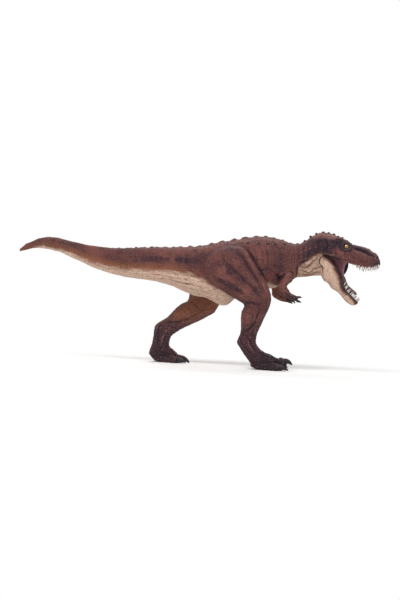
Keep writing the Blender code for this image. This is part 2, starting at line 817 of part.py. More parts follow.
def gape_outline():
    """The open mouth seen from the side: lip line, jaw joint and throat."""
    outline = list(reversed(snout_points(LIP_SHARES)))
    radius = JAW_REAR_RADIUS + JAW_GAP
    for i in range(JAW_SWEEP_STEPS + 1):
        turn = JAW_SWEEP_START + JAW_SWEEP * i / JAW_SWEEP_STEPS
        outline.append((HINGE.x + radius * math.cos(turn), HINGE.z + radius * math.sin(turn)))
    for row in THROAT_ROWS:
        lip, chin, up, width = jaw_section(row)
        point = opened(chin - up * JAW_GAP)
        outline.append((point.x, point.z))
    outline.append((outline[0][0], outline[-1][1]))
    return outline


def build_head(parts, cutters):
    """Neck and upper head in one casting, with the well that the jaw closes into."""
    head = loft("head", trunk_rings(NECK_SEAM_X, SNOUT_X), parts)
    unite(head, plug("neck plug", NECK_SEAM_X - PLUG_LENGTH, NECK_SEAM_X + PLUG_ROOT, cutters))
    add_scutes(head, NECK_SEAM_X, HINGE.x + CREST_LENGTH, cutters)
    wide = HEAD_HALF_WIDTH + OVERRUN
    cut(head, prism("gape", gape_outline(), -wide, wide, cutters))
    rear_x = HINGE.x - JAW_REAR_RADIUS - JAW_GAP
    front_x = along_snout(ROOF_SHARES[-1][0])
    rings = snout_boxes(rear_x, front_x, ROOF_SHARES, 0.0, -HEAD_DEPTH, 0.0)
    cut(head, loft("mouth well", rings, cutters))
    slot_outline = snout_points(WEB_ROOF_SHARES)
    slot_outline.append((slot_outline[-1][0], HINGE.z))
    slot_outline.append((slot_outline[0][0], HINGE.z))
    slot = prism("web slot", slot_outline, -JAW_INNER_HALF_WIDTH, JAW_INNER_HALF_WIDTH, cutters)
    cut(head, slot)
    unite(head, across_hinge("hinge block", HINGE_BLOCK_HALF_WIDTH, HINGE_BLOCK_RADIUS, cutters))
    stem_half = HINGE_BLOCK_RADIUS * STEM_SHARE
    stem = (
        (HINGE.x, HINGE.z + stem_half),
        (HINGE.x, HINGE.z - stem_half),
        (rear_x - OVERRUN, HINGE.z - stem_half),
        (rear_x - OVERRUN, HINGE.z + stem_half),
    )
    unite(head, prism("hinge stem", stem, -HINGE_BLOCK_HALF_WIDTH, HINGE_BLOCK_HALF_WIDTH, cutters))
    cut(head, across_hinge("head bore", HINGE_BLOCK_HALF_WIDTH + OVERRUN, PIN_RADIUS + PIN_GAP, cutters))
    for side in (-1, 1):
        cut(head, ball(f"eye socket {side}", eye_centre(side), EYE_RADIUS + SEAM_GAP, cutters))
    dress(head, "brown_skin")


def across_hinge(name, half_width, radius, collection, centre=HINGE):
    """A round bar along the hinge axis."""
    reach = Vector((0, half_width, 0))
    return bar(name, centre - reach, centre + reach, radius, ROUND_SIDES, collection)


def eye_centre(side):
    x, z = HINGE.x + EYE_AHEAD, HINGE.z + EYE_RISE
    return Vector((x, side * (skin_half_width(x, z) - EYE_RADIUS + EYE_PROUD), z))


def build_eyes(parts):
    for name, side in (("right_eye", -1), ("left_eye", 1)):
        eye = ball(name, eye_centre(side), EYE_RADIUS, parts)
        dress(eye, "eye_yellow")


def build_pin(parts):
    pin = across_hinge("jaw_pin", JAW_INNER_HALF_WIDTH + PIN_BITE, PIN_RADIUS, parts)
    dress(pin, "steel")


def build_upper_teeth(parts, cutters):
    """The upper gum strip, a U along the lip, with its teeth."""
    start, end = along_snout(UPPER_GUM_SHARE), along_snout(ROOF_SHARES[-1][0]) - SEAM_GAP
    strip = loft("upper_teeth", snout_boxes(start, end, LIP_SHARES, GUM_DEPTH, 0.0, SEAM_GAP), parts)
    inside_end = end - GUM_WALL
    inner = snout_boxes(start - OVERRUN, inside_end, LIP_SHARES, OVERRUN, -OVERRUN, SEAM_GAP + GUM_WALL)
    cut(strip, loft("upper gum inside", inner, cutters))
    feet = []
    for x in spread(start + TOOTH_PITCH / 2, end - GUM_WALL / 2, TOOTH_PITCH):
        out = well_half_width(x) - SEAM_GAP - GUM_WALL / 2
        feet += [Vector((x, side * out, height_at(LIP_SHARES, x))) for side in (-1, 1)]
    front = end - GUM_WALL / 2
    feet.append(Vector((front, 0, height_at(LIP_SHARES, front))))
    teeth = []
    for i, foot in enumerate(feet):
        size = TOOTH_SIZE_SHARES[i % len(TOOTH_SIZE_SHARES)]
        root = foot + Vector((0, 0, GUM_DEPTH / 2))
        tip = foot - Vector((0, 0, UPPER_TOOTH_LENGTH * size))
        teeth.append(spike("tooth", root, tip, TOOTH_RADIUS, cutters))
    unite(strip, grouped("upper tooth row", teeth, cutters))
    dress(strip, "tooth_white")


def build_palate(parts):
    """The thin plate that closes the roof of the mouth behind the upper teeth."""
    start, end = along_snout(PALATE_SHARE), along_snout(ROOF_SHARES[-1][0]) - SEAM_GAP
    rings = snout_boxes(start, end, ROOF_SHARES, -SEAM_GAP, -SEAM_GAP - PALATE_WALL, SEAM_GAP)
    dress(loft("palate", rings, parts), "mouth_pink")


def build_jaw(parts, cutters):
    """The lower jaw with two arms that turn on the pin, and all that it carries."""
    axis = bpy.data.objects.new("jaw_axis", None)
    parts.objects.link(axis)
    before = set(bpy.data.objects)
    rings = []
    for row in spread(0, len(JAW_SHARES) - 1, ROW_STEP):
        lip, chin, up, width = jaw_section(row)
        across = Vector((0, width * JAW_HALF_WIDTH, 0))
        rings.append(oval((lip + chin) / 2, (lip - chin) / 2, across, LIMB_SIDES, LIP_POWER))
    jaw = loft("lower_jaw", rings, parts)
    at_hinge = Vector()
    for side in (-1, 1):
        near = Vector((0, side * (JAW_INNER_HALF_WIDTH - OVERRUN), 0))
        far = Vector((0, side * JAW_HALF_WIDTH * JAW_SHARES[0][-1], 0))
        unite(jaw, bar(f"jaw rear {side}", near, far, JAW_REAR_RADIUS, ROUND_SIDES, cutters))
    cut(jaw, across_hinge("throat", JAW_INNER_HALF_WIDTH, THROAT_RADIUS, cutters, at_hinge))
    cut(jaw, loft("trough", jaw_boxes(TROUGH_ROWS, OVERRUN, MOUTH_DEPTH, 0.0), cutters))
    bore_half = JAW_INNER_HALF_WIDTH + PIN_BITE + JAW_GAP
    cut(jaw, across_hinge("jaw bore", bore_half, PIN_RADIUS + PIN_GAP, cutters, at_hinge))
    dress(jaw, "cream_skin")
    build_lining(parts, cutters)
    build_lower_teeth(parts, cutters)
    build_tongue(parts)
    for obj in set(bpy.data.objects) - before:
        obj.parent = axis
    axis.location = HINGE
    axis.rotation_euler.y = JAW_GAPE


def build_lining(parts, cutters):
    """Pink channel in the trough, with the two cheek webs that slide up into the head."""
    start, end = LINING_ROWS
    depth = MOUTH_DEPTH - SEAM_GAP
    rings = jaw_boxes(LINING_ROWS, -GUM_DEPTH - SEAM_GAP, depth, SEAM_GAP)
    lining = loft("mouth_lining", rings, parts)
    rows = (start - REAR_OPEN_ROWS, end - FRONT_WALL_ROWS)
    inner = jaw_boxes(rows, OVERRUN, depth - LINING_WALL, SEAM_GAP + LINING_WALL)
    cut(lining, loft("lining inside", inner, cutters))
    outline = [(along * WEB_REACH, up * WEB_REACH) for along, up in WEB_EDGE_SHARES]
    for row in WEB_ROWS:
        lip, chin, up, width = jaw_section(row)
        point = lip - up * (depth - LINING_WALL / 2)
        outline.append((point.x, point.z))
    for turn in WEB_ROOT_TURNS:
        outline.append((WEB_ROOT_RADIUS * math.cos(turn), WEB_ROOT_RADIUS * math.sin(turn)))
    far = JAW_INNER_HALF_WIDTH * WEB_WIDTH_SHARE - SEAM_GAP
    for side in (-1, 1):
        unite(lining, prism(f"web {side}", outline, side * (far - LINING_WALL), side * far, cutters))
    dress(lining, "mouth_pink")


def build_lower_teeth(parts, cutters):
    """The lower gum strip, a U along the jaw's inner edge, with its teeth."""
    start, end = GUM_ROWS
    strip = loft("lower_teeth", jaw_boxes(GUM_ROWS, 0.0, GUM_DEPTH, SEAM_GAP), parts)
    rows = (start - REAR_OPEN_ROWS, end - FRONT_WALL_ROWS)
    inner = jaw_boxes(rows, OVERRUN, GUM_DEPTH + OVERRUN, SEAM_GAP + GUM_WALL)
    cut(strip, loft("lower gum inside", inner, cutters))
    teeth = []
    for i, row in enumerate(spread(start + REAR_OPEN_ROWS, end - REAR_OPEN_ROWS, LOWER_TOOTH_ROWS)):
        lip, chin, up, width = jaw_section(row)
        out = width * JAW_INNER_HALF_WIDTH - SEAM_GAP - GUM_WALL / 2
        size = TOOTH_SIZE_SHARES[i % len(TOOTH_SIZE_SHARES)]
        for side in (-1, 1):
            foot = lip + Vector((0, side * out, 0))
            root, tip = foot - up * GUM_DEPTH / 2, foot + up * LOWER_TOOTH_LENGTH * size
            teeth.append(spike("tooth", root, tip, TOOTH_RADIUS, cutters))
    unite(strip, grouped("lower tooth row", teeth, cutters))
    dress(strip, "tooth_white")


def build_tongue(parts):
    rings = []
    columns = tuple(zip(*TONGUE_SHARES))
    for row in spread(0, len(TONGUE_SHARES) - 1, ROW_STEP):
        along, top, under, width = (hermite(range(len(TONGUE_SHARES)), column, row) for column in columns)
        middle = Vector((along * JAW_LENGTH, 0, (top + under) / 2 * JAW_DEPTH))
        rise = Vector((0, 0, (top - under) / 2 * JAW_DEPTH))
        across = Vector((0, width * TONGUE_HALF_WIDTH, 0))
        rings.append(oval(middle, rise, across, SMALL_SIDES))
    dress(loft("tongue", rings, parts), "tongue_mauve")


def main():
    clear_scene()
    parts = make_collection("toy_dinosaur")
    cutters = make_collection("cutters")
    build_torso(parts, cutters)
    build_tail(parts, cutters)
    build_head(parts, cutters)
    build_leg("right_leg", -1, parts, cutters)
    build_leg("left_leg", 1, parts, cutters)
    build_arm("right_arm", -1, parts, cutters)
    build_arm("left_arm", 1, parts, cutters)
    build_eyes(parts)
    build_pin(parts)
    build_upper_teeth(parts, cutters)
    build_palate(parts)
    build_jaw(parts, cutters)


main()
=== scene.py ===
"""The looks of a hand painted toy dinosaur with a snapping jaw: hide, mouth, eyes, claws and back knobs."""
import math

import bmesh
import bpy
import numpy as np
from mathutils import Matrix, Quaternion, Vector, noise
from mathutils.bvhtree import BVHTree


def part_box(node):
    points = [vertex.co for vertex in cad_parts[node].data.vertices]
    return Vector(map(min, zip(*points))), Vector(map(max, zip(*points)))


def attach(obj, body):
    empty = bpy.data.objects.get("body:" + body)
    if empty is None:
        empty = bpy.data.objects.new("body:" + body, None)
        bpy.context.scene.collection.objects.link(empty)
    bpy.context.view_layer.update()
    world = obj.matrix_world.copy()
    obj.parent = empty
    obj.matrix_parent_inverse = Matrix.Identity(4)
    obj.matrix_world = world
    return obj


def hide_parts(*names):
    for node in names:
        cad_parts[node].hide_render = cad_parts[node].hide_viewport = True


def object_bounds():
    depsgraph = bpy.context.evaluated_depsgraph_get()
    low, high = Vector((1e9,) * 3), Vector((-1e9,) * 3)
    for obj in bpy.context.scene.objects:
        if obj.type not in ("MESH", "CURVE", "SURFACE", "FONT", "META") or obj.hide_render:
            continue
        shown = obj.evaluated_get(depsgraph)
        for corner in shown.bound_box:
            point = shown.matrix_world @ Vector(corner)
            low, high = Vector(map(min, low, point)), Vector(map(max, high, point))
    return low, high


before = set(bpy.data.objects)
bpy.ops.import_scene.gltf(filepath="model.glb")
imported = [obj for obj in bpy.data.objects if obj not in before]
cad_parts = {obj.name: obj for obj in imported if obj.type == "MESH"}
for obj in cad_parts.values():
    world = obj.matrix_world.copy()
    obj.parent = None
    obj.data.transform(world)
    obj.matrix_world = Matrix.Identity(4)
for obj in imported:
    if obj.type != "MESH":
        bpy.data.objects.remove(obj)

CAD_BOX = [list(corner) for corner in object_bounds()]
MM = 0.001

# The hide's mesh
HIDE_NODES = ("torso", "tail", "head", "right_leg", "left_leg", "right_arm", "left_arm")
HIDE_STEP = 0.56 * MM
JAW_STEP = 0.42 * MM
MOUTH_STEP = 0.34 * MM
GUM_STEP = 0.3 * MM
SEAM_FILL = 0.22 * MM
SMOOTHING_ROUNDS = 60
CAP_DEPTH = 3.0 * MM
ROOT_ROUNDS = 130
KNOB_ROUNDS = 26
ROOT_SPREAD = 60
STROKE_GRAIN = 210
STROKE_REACH = 2.6

# Places read from the photograph in millimetres, X forward from the middle of the object and Z up
BELLY_LINE = (
    (-172, 95.0), (-159, 101.4), (-147, 104.8), (-131.6, 102.1), (-116.2, 98.0), (-105.1, 92.7),
    (-87.5, 88.7), (-73.3, 86.7), (-56, 87.1), (-44.1, 87.2), (-22.4, 86.7), (-4.9, 84.5), (6, 80.0),
    (14, 75.0), (24, 72.0), (40, 74.0), (56, 80.0), (68, 81.0), (76, 76.0), (82, 60.0), (90, 60.0),
    (92.5, 96.0), (99, 102.5), (106, 108.5), (113, 111.0), (120, 104.0), (124, 80.0), (175, 80.0),
)

# Leg outlines from the hip down: front X, front Z, back X, back Z
RIGHT_LEG_ROWS = (
    (38.9, 113.5, 22.7, 113.1), (45.5, 110.2, 10.1, 106.4), (52.1, 99.8, 3.5, 95.0),
    (58.1, 88.4, 7.7, 83.6), (62.9, 81.7, 19.1, 75.1), (67.1, 75.1, 31.7, 67.5),
    (70.1, 69.4, 43.1, 61.8), (70.7, 62.7, 46.1, 58.9), (68.9, 56.1, 43.7, 53.2),
    (65.3, 48.5, 43.1, 45.6), (62.3, 40.9, 43.7, 39.0), (59.3, 33.3, 43.1, 31.4),
    (58.7, 25.7, 40.7, 24.7), (61.7, 20.0, 43.1, 20.0), (67.1, 16.2, 46.7, 13.3),
    (73.1, 14.3, 52.1, 4.8), (76.7, 8.6, 56.3, 1.0),
)
LEFT_LEG_ROWS = (
    (34.1, 113.5, 16.1, 112.1), (40.1, 107.4, 1.7, 103.6), (43.1, 96.0, -4.9, 92.2),
    (40.7, 84.6, -9.7, 80.8), (34.7, 75.1, -11.5, 71.3), (25.7, 66.5, -12.1, 63.7),
    (17.3, 58.9, -13.3, 58.9), (11.3, 49.4, -17.5, 57.0), (4.1, 44.7, -22.3, 53.2),
    (-3.7, 39.9, -26.5, 48.5), (-10.9, 36.1, -31.3, 42.8), (-19.3, 31.4, -36.7, 39.0),
    (-25.9, 25.7, -42.1, 34.2), (-27.1, 20.9, -42.7, 25.7), (-25.9, 15.2, -43.3, 15.2),
    (-20.5, 11.4, -44.5, 6.7), (-16.3, 7.6, -39.1, 1.0),
)

# Folds along a leg: row along the leg, share of the way from its front to its back
LEG_RIDGES = {
    "thigh front": (((0.0, 0.30), (0.9, 0.12), (1.8, 0.09), (2.6, 0.06), (3.7, 0.05), (5.0, 0.07),
        (5.8, 0.12)), 2.2, 1.5),
    "thigh muscle": (((1.2, 0.52), (2.2, 0.32), (3.4, 0.26), (4.8, 0.24)), 3.6, 0.9),
    "rear muscle": (((2.2, 0.80), (3.2, 0.62), (4.4, 0.55), (5.6, 0.5)), 3.4, 0.8),
    "calf": (((7.3, 0.70), (8.6, 0.72), (9.8, 0.75)), 4.0, 0.8),
    "shin": (((7.0, 0.20), (8.6, 0.14), (10.0, 0.20), (11.6, 0.20)), 1.8, 0.7),
    "tendon": (((10.8, 0.42), (12.0, 0.40), (13.2, 0.44), (14.6, 0.40)), 1.4, 0.6),
    "heel cord": (((10.0, 0.92), (11.2, 0.92), (12.4, 0.90)), 1.4, 0.5),
    "knee cap": (((5.6, 0.16), (6.3, 0.10), (7.0, 0.12)), 3.4, 0.9),
}
LEG_CREASES = {
    "before thigh": (((0.0, 0.08), (0.7, 0.00), (1.2, -0.01), (2.0, -0.02), (2.8, -0.03), (3.6, -0.03),
        (4.4, 0.0)), 1.7, -1.4),
    "behind fold": (((0.5, 0.34), (1.7, 0.21), (2.6, 0.16), (3.8, 0.14), (5.2, 0.17)), 1.5, -0.9),
    "upper band": (((1.2, 0.78), (1.9, 0.58), (2.5, 0.47), (3.2, 0.385), (4.1, 0.36),
        (5.0, 0.34)), 2.0, -0.6),
    "lower band": (((2.5, 0.97), (2.9, 0.89), (3.5, 0.82), (4.2, 0.74), (5.0, 0.70),
        (5.9, 0.66)), 1.8, -0.6),
    "knee fold": (((6.0, 0.95), (6.5, 0.70), (7.1, 0.45), (7.2, 0.25)), 1.4, -0.8),
    "shin line": (((7.6, 0.36), (8.6, 0.34), (9.5, 0.38), (10.4, 0.60), (10.8, 0.97)), 1.5, -0.9),
    "calf line": (((7.9, 0.92), (8.4, 0.60), (8.9, 0.50)), 1.2, -0.5),
    "first tendon line": (((10.4, 0.60), (11.2, 0.54), (12.0, 0.30), (13.2, 0.32), (14.7, 0.50)), 1.2, -0.7),
    "second tendon line": (((11.0, 0.93), (12.0, 0.78), (12.8, 0.70), (14.1, 0.68)), 1.1, -0.6),
    "toe line": (((13.6, 0.30), (14.4, 0.16), (15.2, 0.10)), 1.3, -0.7),
}

# Folds of the trunk, neck and head on both flanks: path, width, height
TRUNK_RIDGES = {
    "spine edge": (((-60, 103), (-30, 105), (0, 108), (20, 111), (34, 115), (55, 120), (75, 119),
        (88, 116)), 3.2, 0.45),
    "shoulder": (((82, 104), (86, 96), (84, 88), (79, 82)), 5.0, 1.2),
    "side muscle": (((-56, 97), (-30, 98), (-5, 97)), 5.0, 0.5),
    "neck cord": (((88, 110), (96, 112), (104, 116), (112, 120)), 3.0, 0.7),
    "throat roll": (((93, 99.5), (99, 100.0), (104, 104), (109, 108)), 1.6, 0.5),
    "throat pouch": (((96, 92), (102, 94), (108, 97), (112, 99)), 2.4, 0.6),
    "brow": (((120, 125.0), (124, 126.3), (129, 126.8), (134, 125.4), (138.5, 122.6),
        (142, 120.2)), 1.7, 1.0),
    "cheek": (((122, 113.6), (128, 112.2), (135, 112.6)), 3.2, 0.9),
    "snout side": (((144, 112), (150, 111.2), (157, 109.4)), 3.4, 0.8),
    "nose ridge": (((143, 120.6), (149, 119.0), (156, 117.4), (162, 114.2), (166, 111)), 1.4, 0.8),
    "lip": (((139, 105.2), (145, 103.6), (152, 101.8), (158, 101.6), (164, 102.8), (168, 104.6)), 1.2, 0.45),
    "jaw hinge": (((114, 112.4), (118, 111.4), (123, 110.4), (129, 108.9), (134, 108.6)), 1.5, 0.6),
}
TRUNK_CREASES = {
    "rib 1": (((55.7, 114.7), (57.7, 108.3), (58.9, 100.3), (58.5, 92.9)), 1.5, -0.4),
    "rib 2": (((61.0, 114.0), (63.0, 107.0), (63.6, 99.0), (62.6, 93.0)), 1.1, -0.45),
    "rib 3": (((67.1, 113.7), (69.9, 107.4), (70.3, 99.2), (69.1, 91.9)), 1.5, -0.4),
    "rib 4": (((73.5, 112.0), (75.8, 106.0), (76.0, 99.0), (74.5, 93.0)), 1.5, -0.4),
    "rib 5": (((49.5, 114.0), (51.5, 108.0), (53.4, 101.0)), 1.1, -0.4),
    "shoulder line": (((52.6, 96.7), (57.7, 92.9), (64.1, 94.0), (70, 91.4)), 1.4, -0.6),
    "armpit": (((71.5, 91.0), (74.5, 87.5), (78.5, 86.0), (81.0, 87.4)), 2.2, -1.5),
    "chest line": (((90.5, 99.0), (91.4, 93.0), (89.2, 86.0), (84.5, 80.5)), 1.3, -0.6),
    "neck fold 1": (((92.0, 117.5), (91.8, 110.0), (93.4, 103.0)), 1.4, -0.38),
    "neck fold 2": (((96.4, 118.6), (96.2, 111.5), (97.6, 104.8)), 1.4, -0.38),
    "neck fold 3": (((100.8, 120.4), (101.0, 113.5), (102.6, 107.4)), 1.4, -0.38),
    "neck fold 4": (((105.2, 122.6), (105.6, 115.8), (107.2, 110.8)), 1.3, -0.36),
    "neck fold 5": (((109.8, 124.0), (110.0, 118.0), (111.2, 113.8)), 1.3, -0.32),
    "nape": (((113.5, 127.2), (116.8, 123.6), (118.6, 119.6), (117.0, 116.2), (113.4, 113.9)), 1.3, -0.8),
    "throat edge": (((92.8, 100.8), (97.0, 102.6), (102.1, 105.2), (106.0, 109.2), (110.0, 111.6),
        (114.5, 110.6)), 1.2, -1.05),
    "throat 1": (((93.6, 97.5), (98.7, 96.7), (101.7, 98.8), (105.3, 102.6), (109.5, 106.4)), 1.0, -1.05),
    "throat 2": (((93.2, 94.3), (98.2, 93.8), (102.7, 92.6), (106.9, 96.3), (111.0, 99.2)), 1.0, -0.90),
    "throat 3": (((96.0, 90.9), (101.0, 90.2), (106.0, 91.4), (110.5, 94.0)), 1.0, -0.75),
    "cheek line": (((118.9, 109.0), (124.0, 108.2), (129.1, 106.7), (135.5, 106.1),
        (139.9, 107.0)), 1.0, -0.6),
    "eye to nose": (((140.6, 119.4), (147.5, 116.9), (154.6, 114.6), (159.8, 111.6),
        (163.4, 110.4)), 1.5, -1.1),
    "behind eye": (((131.0, 122.6), (127.5, 121.2), (124.0, 118.4)), 1.5, -0.6),
    "under eye": (((132.6, 115.6), (136.4, 114.6), (140.6, 116.2)), 1.0, -0.4),
    "snout line": (((141.5, 110.6), (146.0, 107.4), (152.0, 105.8), (159.0, 105.6)), 1.1, -0.35),
}
BELLY_CREASES = {
    "belly 1": (((-50, 82.5), (-38, 83.0), (-26, 81.0), (-14, 80.4), (-4, 78.0)), 1.3, -0.94),
    "belly 2": (((-42, 79.5), (-30, 79.0), (-18, 76.6), (-6, 75.2), (4, 72.8)), 1.3, -0.94),
    "belly 3": (((-34, 86.2), (-22, 84.8), (-10, 83.6), (-1, 82.6), (5, 79.0)), 1.2, -0.85),
    "belly 4": (((-24, 73.6), (-12, 72.2), (0, 70.2), (10, 68.0), (20, 65.4)), 1.3, -0.85),
    "belly 5": (((-4, 66.8), (4, 66.0), (12, 63.6), (22, 62.0)), 1.3, -0.77),
    "belly 6": (((-60, 85.6), (-48, 85.4), (-38, 86.0)), 1.2, -0.68),
    "flank 1": (((-12, 90.0), (-5, 87.4), (2, 83.2)), 1.2, -0.77),
    "flank 2": (((-16, 88.0), (-9, 84.6), (0, 80.6), (6, 76.4)), 1.2, -0.77),
    "tail 1": (((-100, 89.5), (-84, 86.0), (-68, 84.4)), 1.2, -0.51),
    "tail 2": (((-112, 94.4), (-96, 88.6), (-80, 83.8)), 1.2, -0.51),
}


# Mesh arrays and fields

def curved(path, steps=5):
    """A smooth run of points through a path's own points."""
    p = np.array(path, float)
    ends = np.concatenate([[2 * p[0] - p[1]], p, [2 * p[-1] - p[-2]]])
    run = []
    for a, b, c, d in zip(ends, ends[1:], ends[2:], ends[3:]):
        for t in np.arange(steps) / steps:
            square, cube = 2 * a - 5 * b + 4 * c - d, 3 * b - a - 3 * c + d
            run.append(0.5 * (2 * b + (c - a) * t + square * t**2 + cube * t**3))
    return np.array(run + [p[-1]])


def eased(low, high, values):
    """0 below low, 1 above high and a smooth rise between them."""
    t = np.clip((values - low) / (high - low), 0, 1)
    return t * t * (3 - 2 * t)


def bell(distance, width):
    """1 where the distance is 0, with a smooth fall over the width."""
    return np.exp(-((distance / width) ** 2))


def spot(x, z, place, reach):
    """1 at a place on the side view, with a smooth fall around it."""
    return np.exp(-(((x - place[0]) ** 2 + (z - place[1]) ** 2) / reach**2))


def on_line(line, x):
    """The second value of a line's points where the first one is x."""
    line = np.array(line, float)
    return np.interp(x, line[:, 0], line[:, 1])


class Hide:
    """A closed mesh of quads as arrays, with the masks that its paint and folds use."""

    def __init__(self, mesh):
        self.co = np.empty(len(mesh.vertices) * 3)
        mesh.vertices.foreach_get("co", self.co)
        self.co = self.co.reshape(-1, 3)
        self.quads = np.empty(len(mesh.loops), np.int64)
        mesh.loops.foreach_get("vertex_index", self.quads)
        self.quads = self.quads.reshape(-1, 4)
        self.edges = np.empty(len(mesh.edges) * 2, np.int64)
        mesh.edges.foreach_get("vertices", self.edges)
        self.edges = self.edges.reshape(-1, 2)
        self.keep_largest_shell()
        self.valence = np.bincount(self.edges.ravel(), minlength=len(self.co))
        self.masks = {}

    def keep_largest_shell(self):
        """Drops every shell but the one with most points, such as the wall of a closed hollow."""
        label = np.arange(len(self.co))
        a, b = self.edges.T
        while True:
            low = np.minimum(label[a], label[b])
            new = label.copy()
            np.minimum.at(new, a, low)
            np.minimum.at(new, b, low)
            new = new[new]
            if (new == label).all():
                break
            label = new
        kept = label == np.bincount(label).argmax()
        place = np.cumsum(kept) - 1
        self.co = self.co[kept]
        self.quads = place[self.quads[kept[self.quads[:, 0]]]]
        self.edges = place[self.edges[kept[self.edges[:, 0]]]]

    def normals(self):
        """A normal for each point, from the faces around it."""
        p = self.co[self.quads]
        face = np.cross(p[:, 2] - p[:, 0], p[:, 3] - p[:, 1])
        total = np.zeros_like(self.co)
        for corner in range(4):
            for k in range(3):
                total[:, k] += np.bincount(self.quads[:, corner], face[:, k], len(self.co))
        return total / np.maximum(np.linalg.norm(total, axis=1, keepdims=True), 1e-12)

    def averaged(self, values):
        """Each point's mean of its neighbours' values."""
        flat = values.reshape(len(self.co), -1)
        a, b = self.edges.T
        out = np.empty_like(flat)
        for k in range(flat.shape[1]):
            total = np.bincount(a, flat[b, k], len(self.co)) + np.bincount(b, flat[a, k], len(self.co))
            out[:, k] = total / self.valence
        return out.reshape(values.shape)

    def soften(self, values, rounds):
        """Values blended with their neighbours' a few times."""
        for _ in range(rounds):
            values = 0.5 * values + 0.5 * self.averaged(values)
        return values

    def even_out(self, rounds):
        """Takes the facets out of the surface without shrinking it."""
        for i in range(rounds):
            step = 0.63 if i % 2 == 0 else -0.67
            self.co += step * (self.averaged(self.co) - self.co)

    def hollowness(self, normals, rounds, depth):
        """0.5 on even skin, more in a hollow and less on a ridge, reaching 1 and 0 at the given depth."""
        smooth = self.soften(self.co, rounds)
        return 0.5 + 0.5 * (((smooth - self.co) * normals).sum(1) / depth)

    def start_strokes(self):
        """Clears the masks of creases and ridges, makes their grain, and gives the heights to fill."""
        self.grain = noise_at(self.co, STROKE_GRAIN, 30)
        self.masks = {"crease": np.zeros(len(self.co)), "ridge": np.zeros(len(self.co))}
        return np.zeros(len(self.co))

    def fall(self, path, width, side=0):
        """The points close to a path on the side view, and how close each is, with soft ends."""
        run = curved(path) * MM
        reach = STROKE_REACH * width * MM
        at = self.co[:, ::2]
        near = ((at > run.min(0) - reach) & (at < run.max(0) + reach)).all(1)
        if side:
            near &= self.co[:, 1] * side > 0
        index = np.nonzero(near)[0]
        best, along = np.full(len(index), 9.0), np.zeros(len(index))
        lengths = np.linalg.norm(np.diff(run, axis=0), axis=1)
        start = 0.0
        for a, b, length in zip(run, run[1:], lengths):
            t = np.clip((at[index] - a) @ (b - a) / length**2, 0, 1)
            away = np.linalg.norm(at[index] - a - t[:, None] * (b - a), axis=1)
            closer = away < best
            along[closer] = (start + t * length)[closer]
            best[closer] = away[closer]
            start += length
        share = along / start
        ends = eased(0, 0.22, np.minimum(share, 1 - share)) * 0.75 + 0.25
        return index, bell(best, width * MM) * ends

    def press(self, folds, facing, amount, side=0, share=None):
        """Raises ridges and sinks creases unevenly, and notes creases and ridges for the paint."""
        for path, width, height in folds:
            index, near = self.fall(path, width, side)
            near = near * facing[index] * (0.85 + 0.7 * self.grain[index])
            if share is not None:
                near = near * share[index]
            amount[index] += near * height * MM
            mask = self.masks["crease" if height < 0 else "ridge"]
            mask[index] = np.maximum(mask[index], near * min(1, abs(height)))


def merged_copy(node, grow=0.0):
    """A copy of a CAD node's mesh with its loose triangles joined, grown by a little."""
    bm = bmesh.new()
    bm.from_mesh(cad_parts[node].data)
    bmesh.ops.remove_doubles(bm, verts=bm.verts, dist=1e-6)
    bm.normal_update()
    for vert in bm.verts:
        vert.co += vert.normal * grow
    return bm


def voxel_hide(nodes, step, grow):
    """One closed skin over several nodes."""
    bm = bmesh.new()
    for node in nodes:
        part = merged_copy(node, grow)
        mesh = bpy.data.meshes.new(node)
        part.to_mesh(mesh)
        bm.from_mesh(mesh)
        part.free()
    mesh = bpy.data.meshes.new("hide blank")
    bm.to_mesh(mesh)
    bm.free()
    blank = bpy.data.objects.new("hide blank", mesh)
    bpy.context.scene.collection.objects.link(blank)
    remesh = blank.modifiers.new("voxels", "REMESH")
    remesh.mode = "VOXEL"
    remesh.voxel_size = step
    evaluated = blank.evaluated_get(bpy.context.evaluated_depsgraph_get())
    skin = bpy.data.meshes.new_from_object(evaluated)
    bpy.data.objects.remove(blank)
    return Hide(skin)


def nearest_nodes(hide, nodes):
    """Each point's distance to each node's own surface, up to a limit."""
    limit = 4 * MM
    points = [Vector(p) for p in hide.co]
    table = np.full((len(points), len(nodes)), limit)
    for k, node in enumerate(nodes):
        bm = merged_copy(node)
        tree = BVHTree.FromBMesh(bm)
        bm.free()
        low, high = (np.array(c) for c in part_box(node))
        inside = ((hide.co > low - limit) & (hide.co < high + limit)).all(1)
        for i in np.nonzero(inside)[0]:
            found = tree.find_nearest(points[i], limit)
            if found[3] is not None:
                table[i, k] = found[3]
    return table


def leg_path(rows, places):
    """Side view points of a fold given by its rows along the leg and shares across it."""
    rows = np.array(rows)
    path = []
    for row, across in places:
        front_x, front_z, back_x, back_z = (
            np.interp(row, np.arange(len(rows)), rows[:, k]) for k in range(4)
        )
        path.append((front_x + (back_x - front_x) * across, front_z + (back_z - front_z) * across))
    return path


# Noise is turned by this, so that its lattice never lines up with the figure
SLANT = np.array(Quaternion((0.6, 0.8, 0.5), 0.9).to_matrix())


def noise_at(co, per_metre, seed):
    """Smooth noise from -1 to 1 on the points, with one frequency or its own along X, Y and Z."""
    shifted = (co * np.array(per_metre)) @ SLANT + 17.3 * seed
    return np.array([noise.noise(p) for p in shifted.tolist()])


def pebbles_at(co, size):
    """Rounded cells of the given size: 1 at a cell's middle, 0 at its rim."""
    near = np.array([noise.voronoi(p)[0][:2] for p in (co / size).tolist()])
    return np.clip((near[:, 1] - near[:, 0]) * 1.6, 0, 1)


def lines_of(values, sharpness):
    """Thin lines where a noise field crosses zero."""
    return np.clip(1 - np.abs(values) * sharpness, 0, 1) ** 1.5


# Sculpting the hide

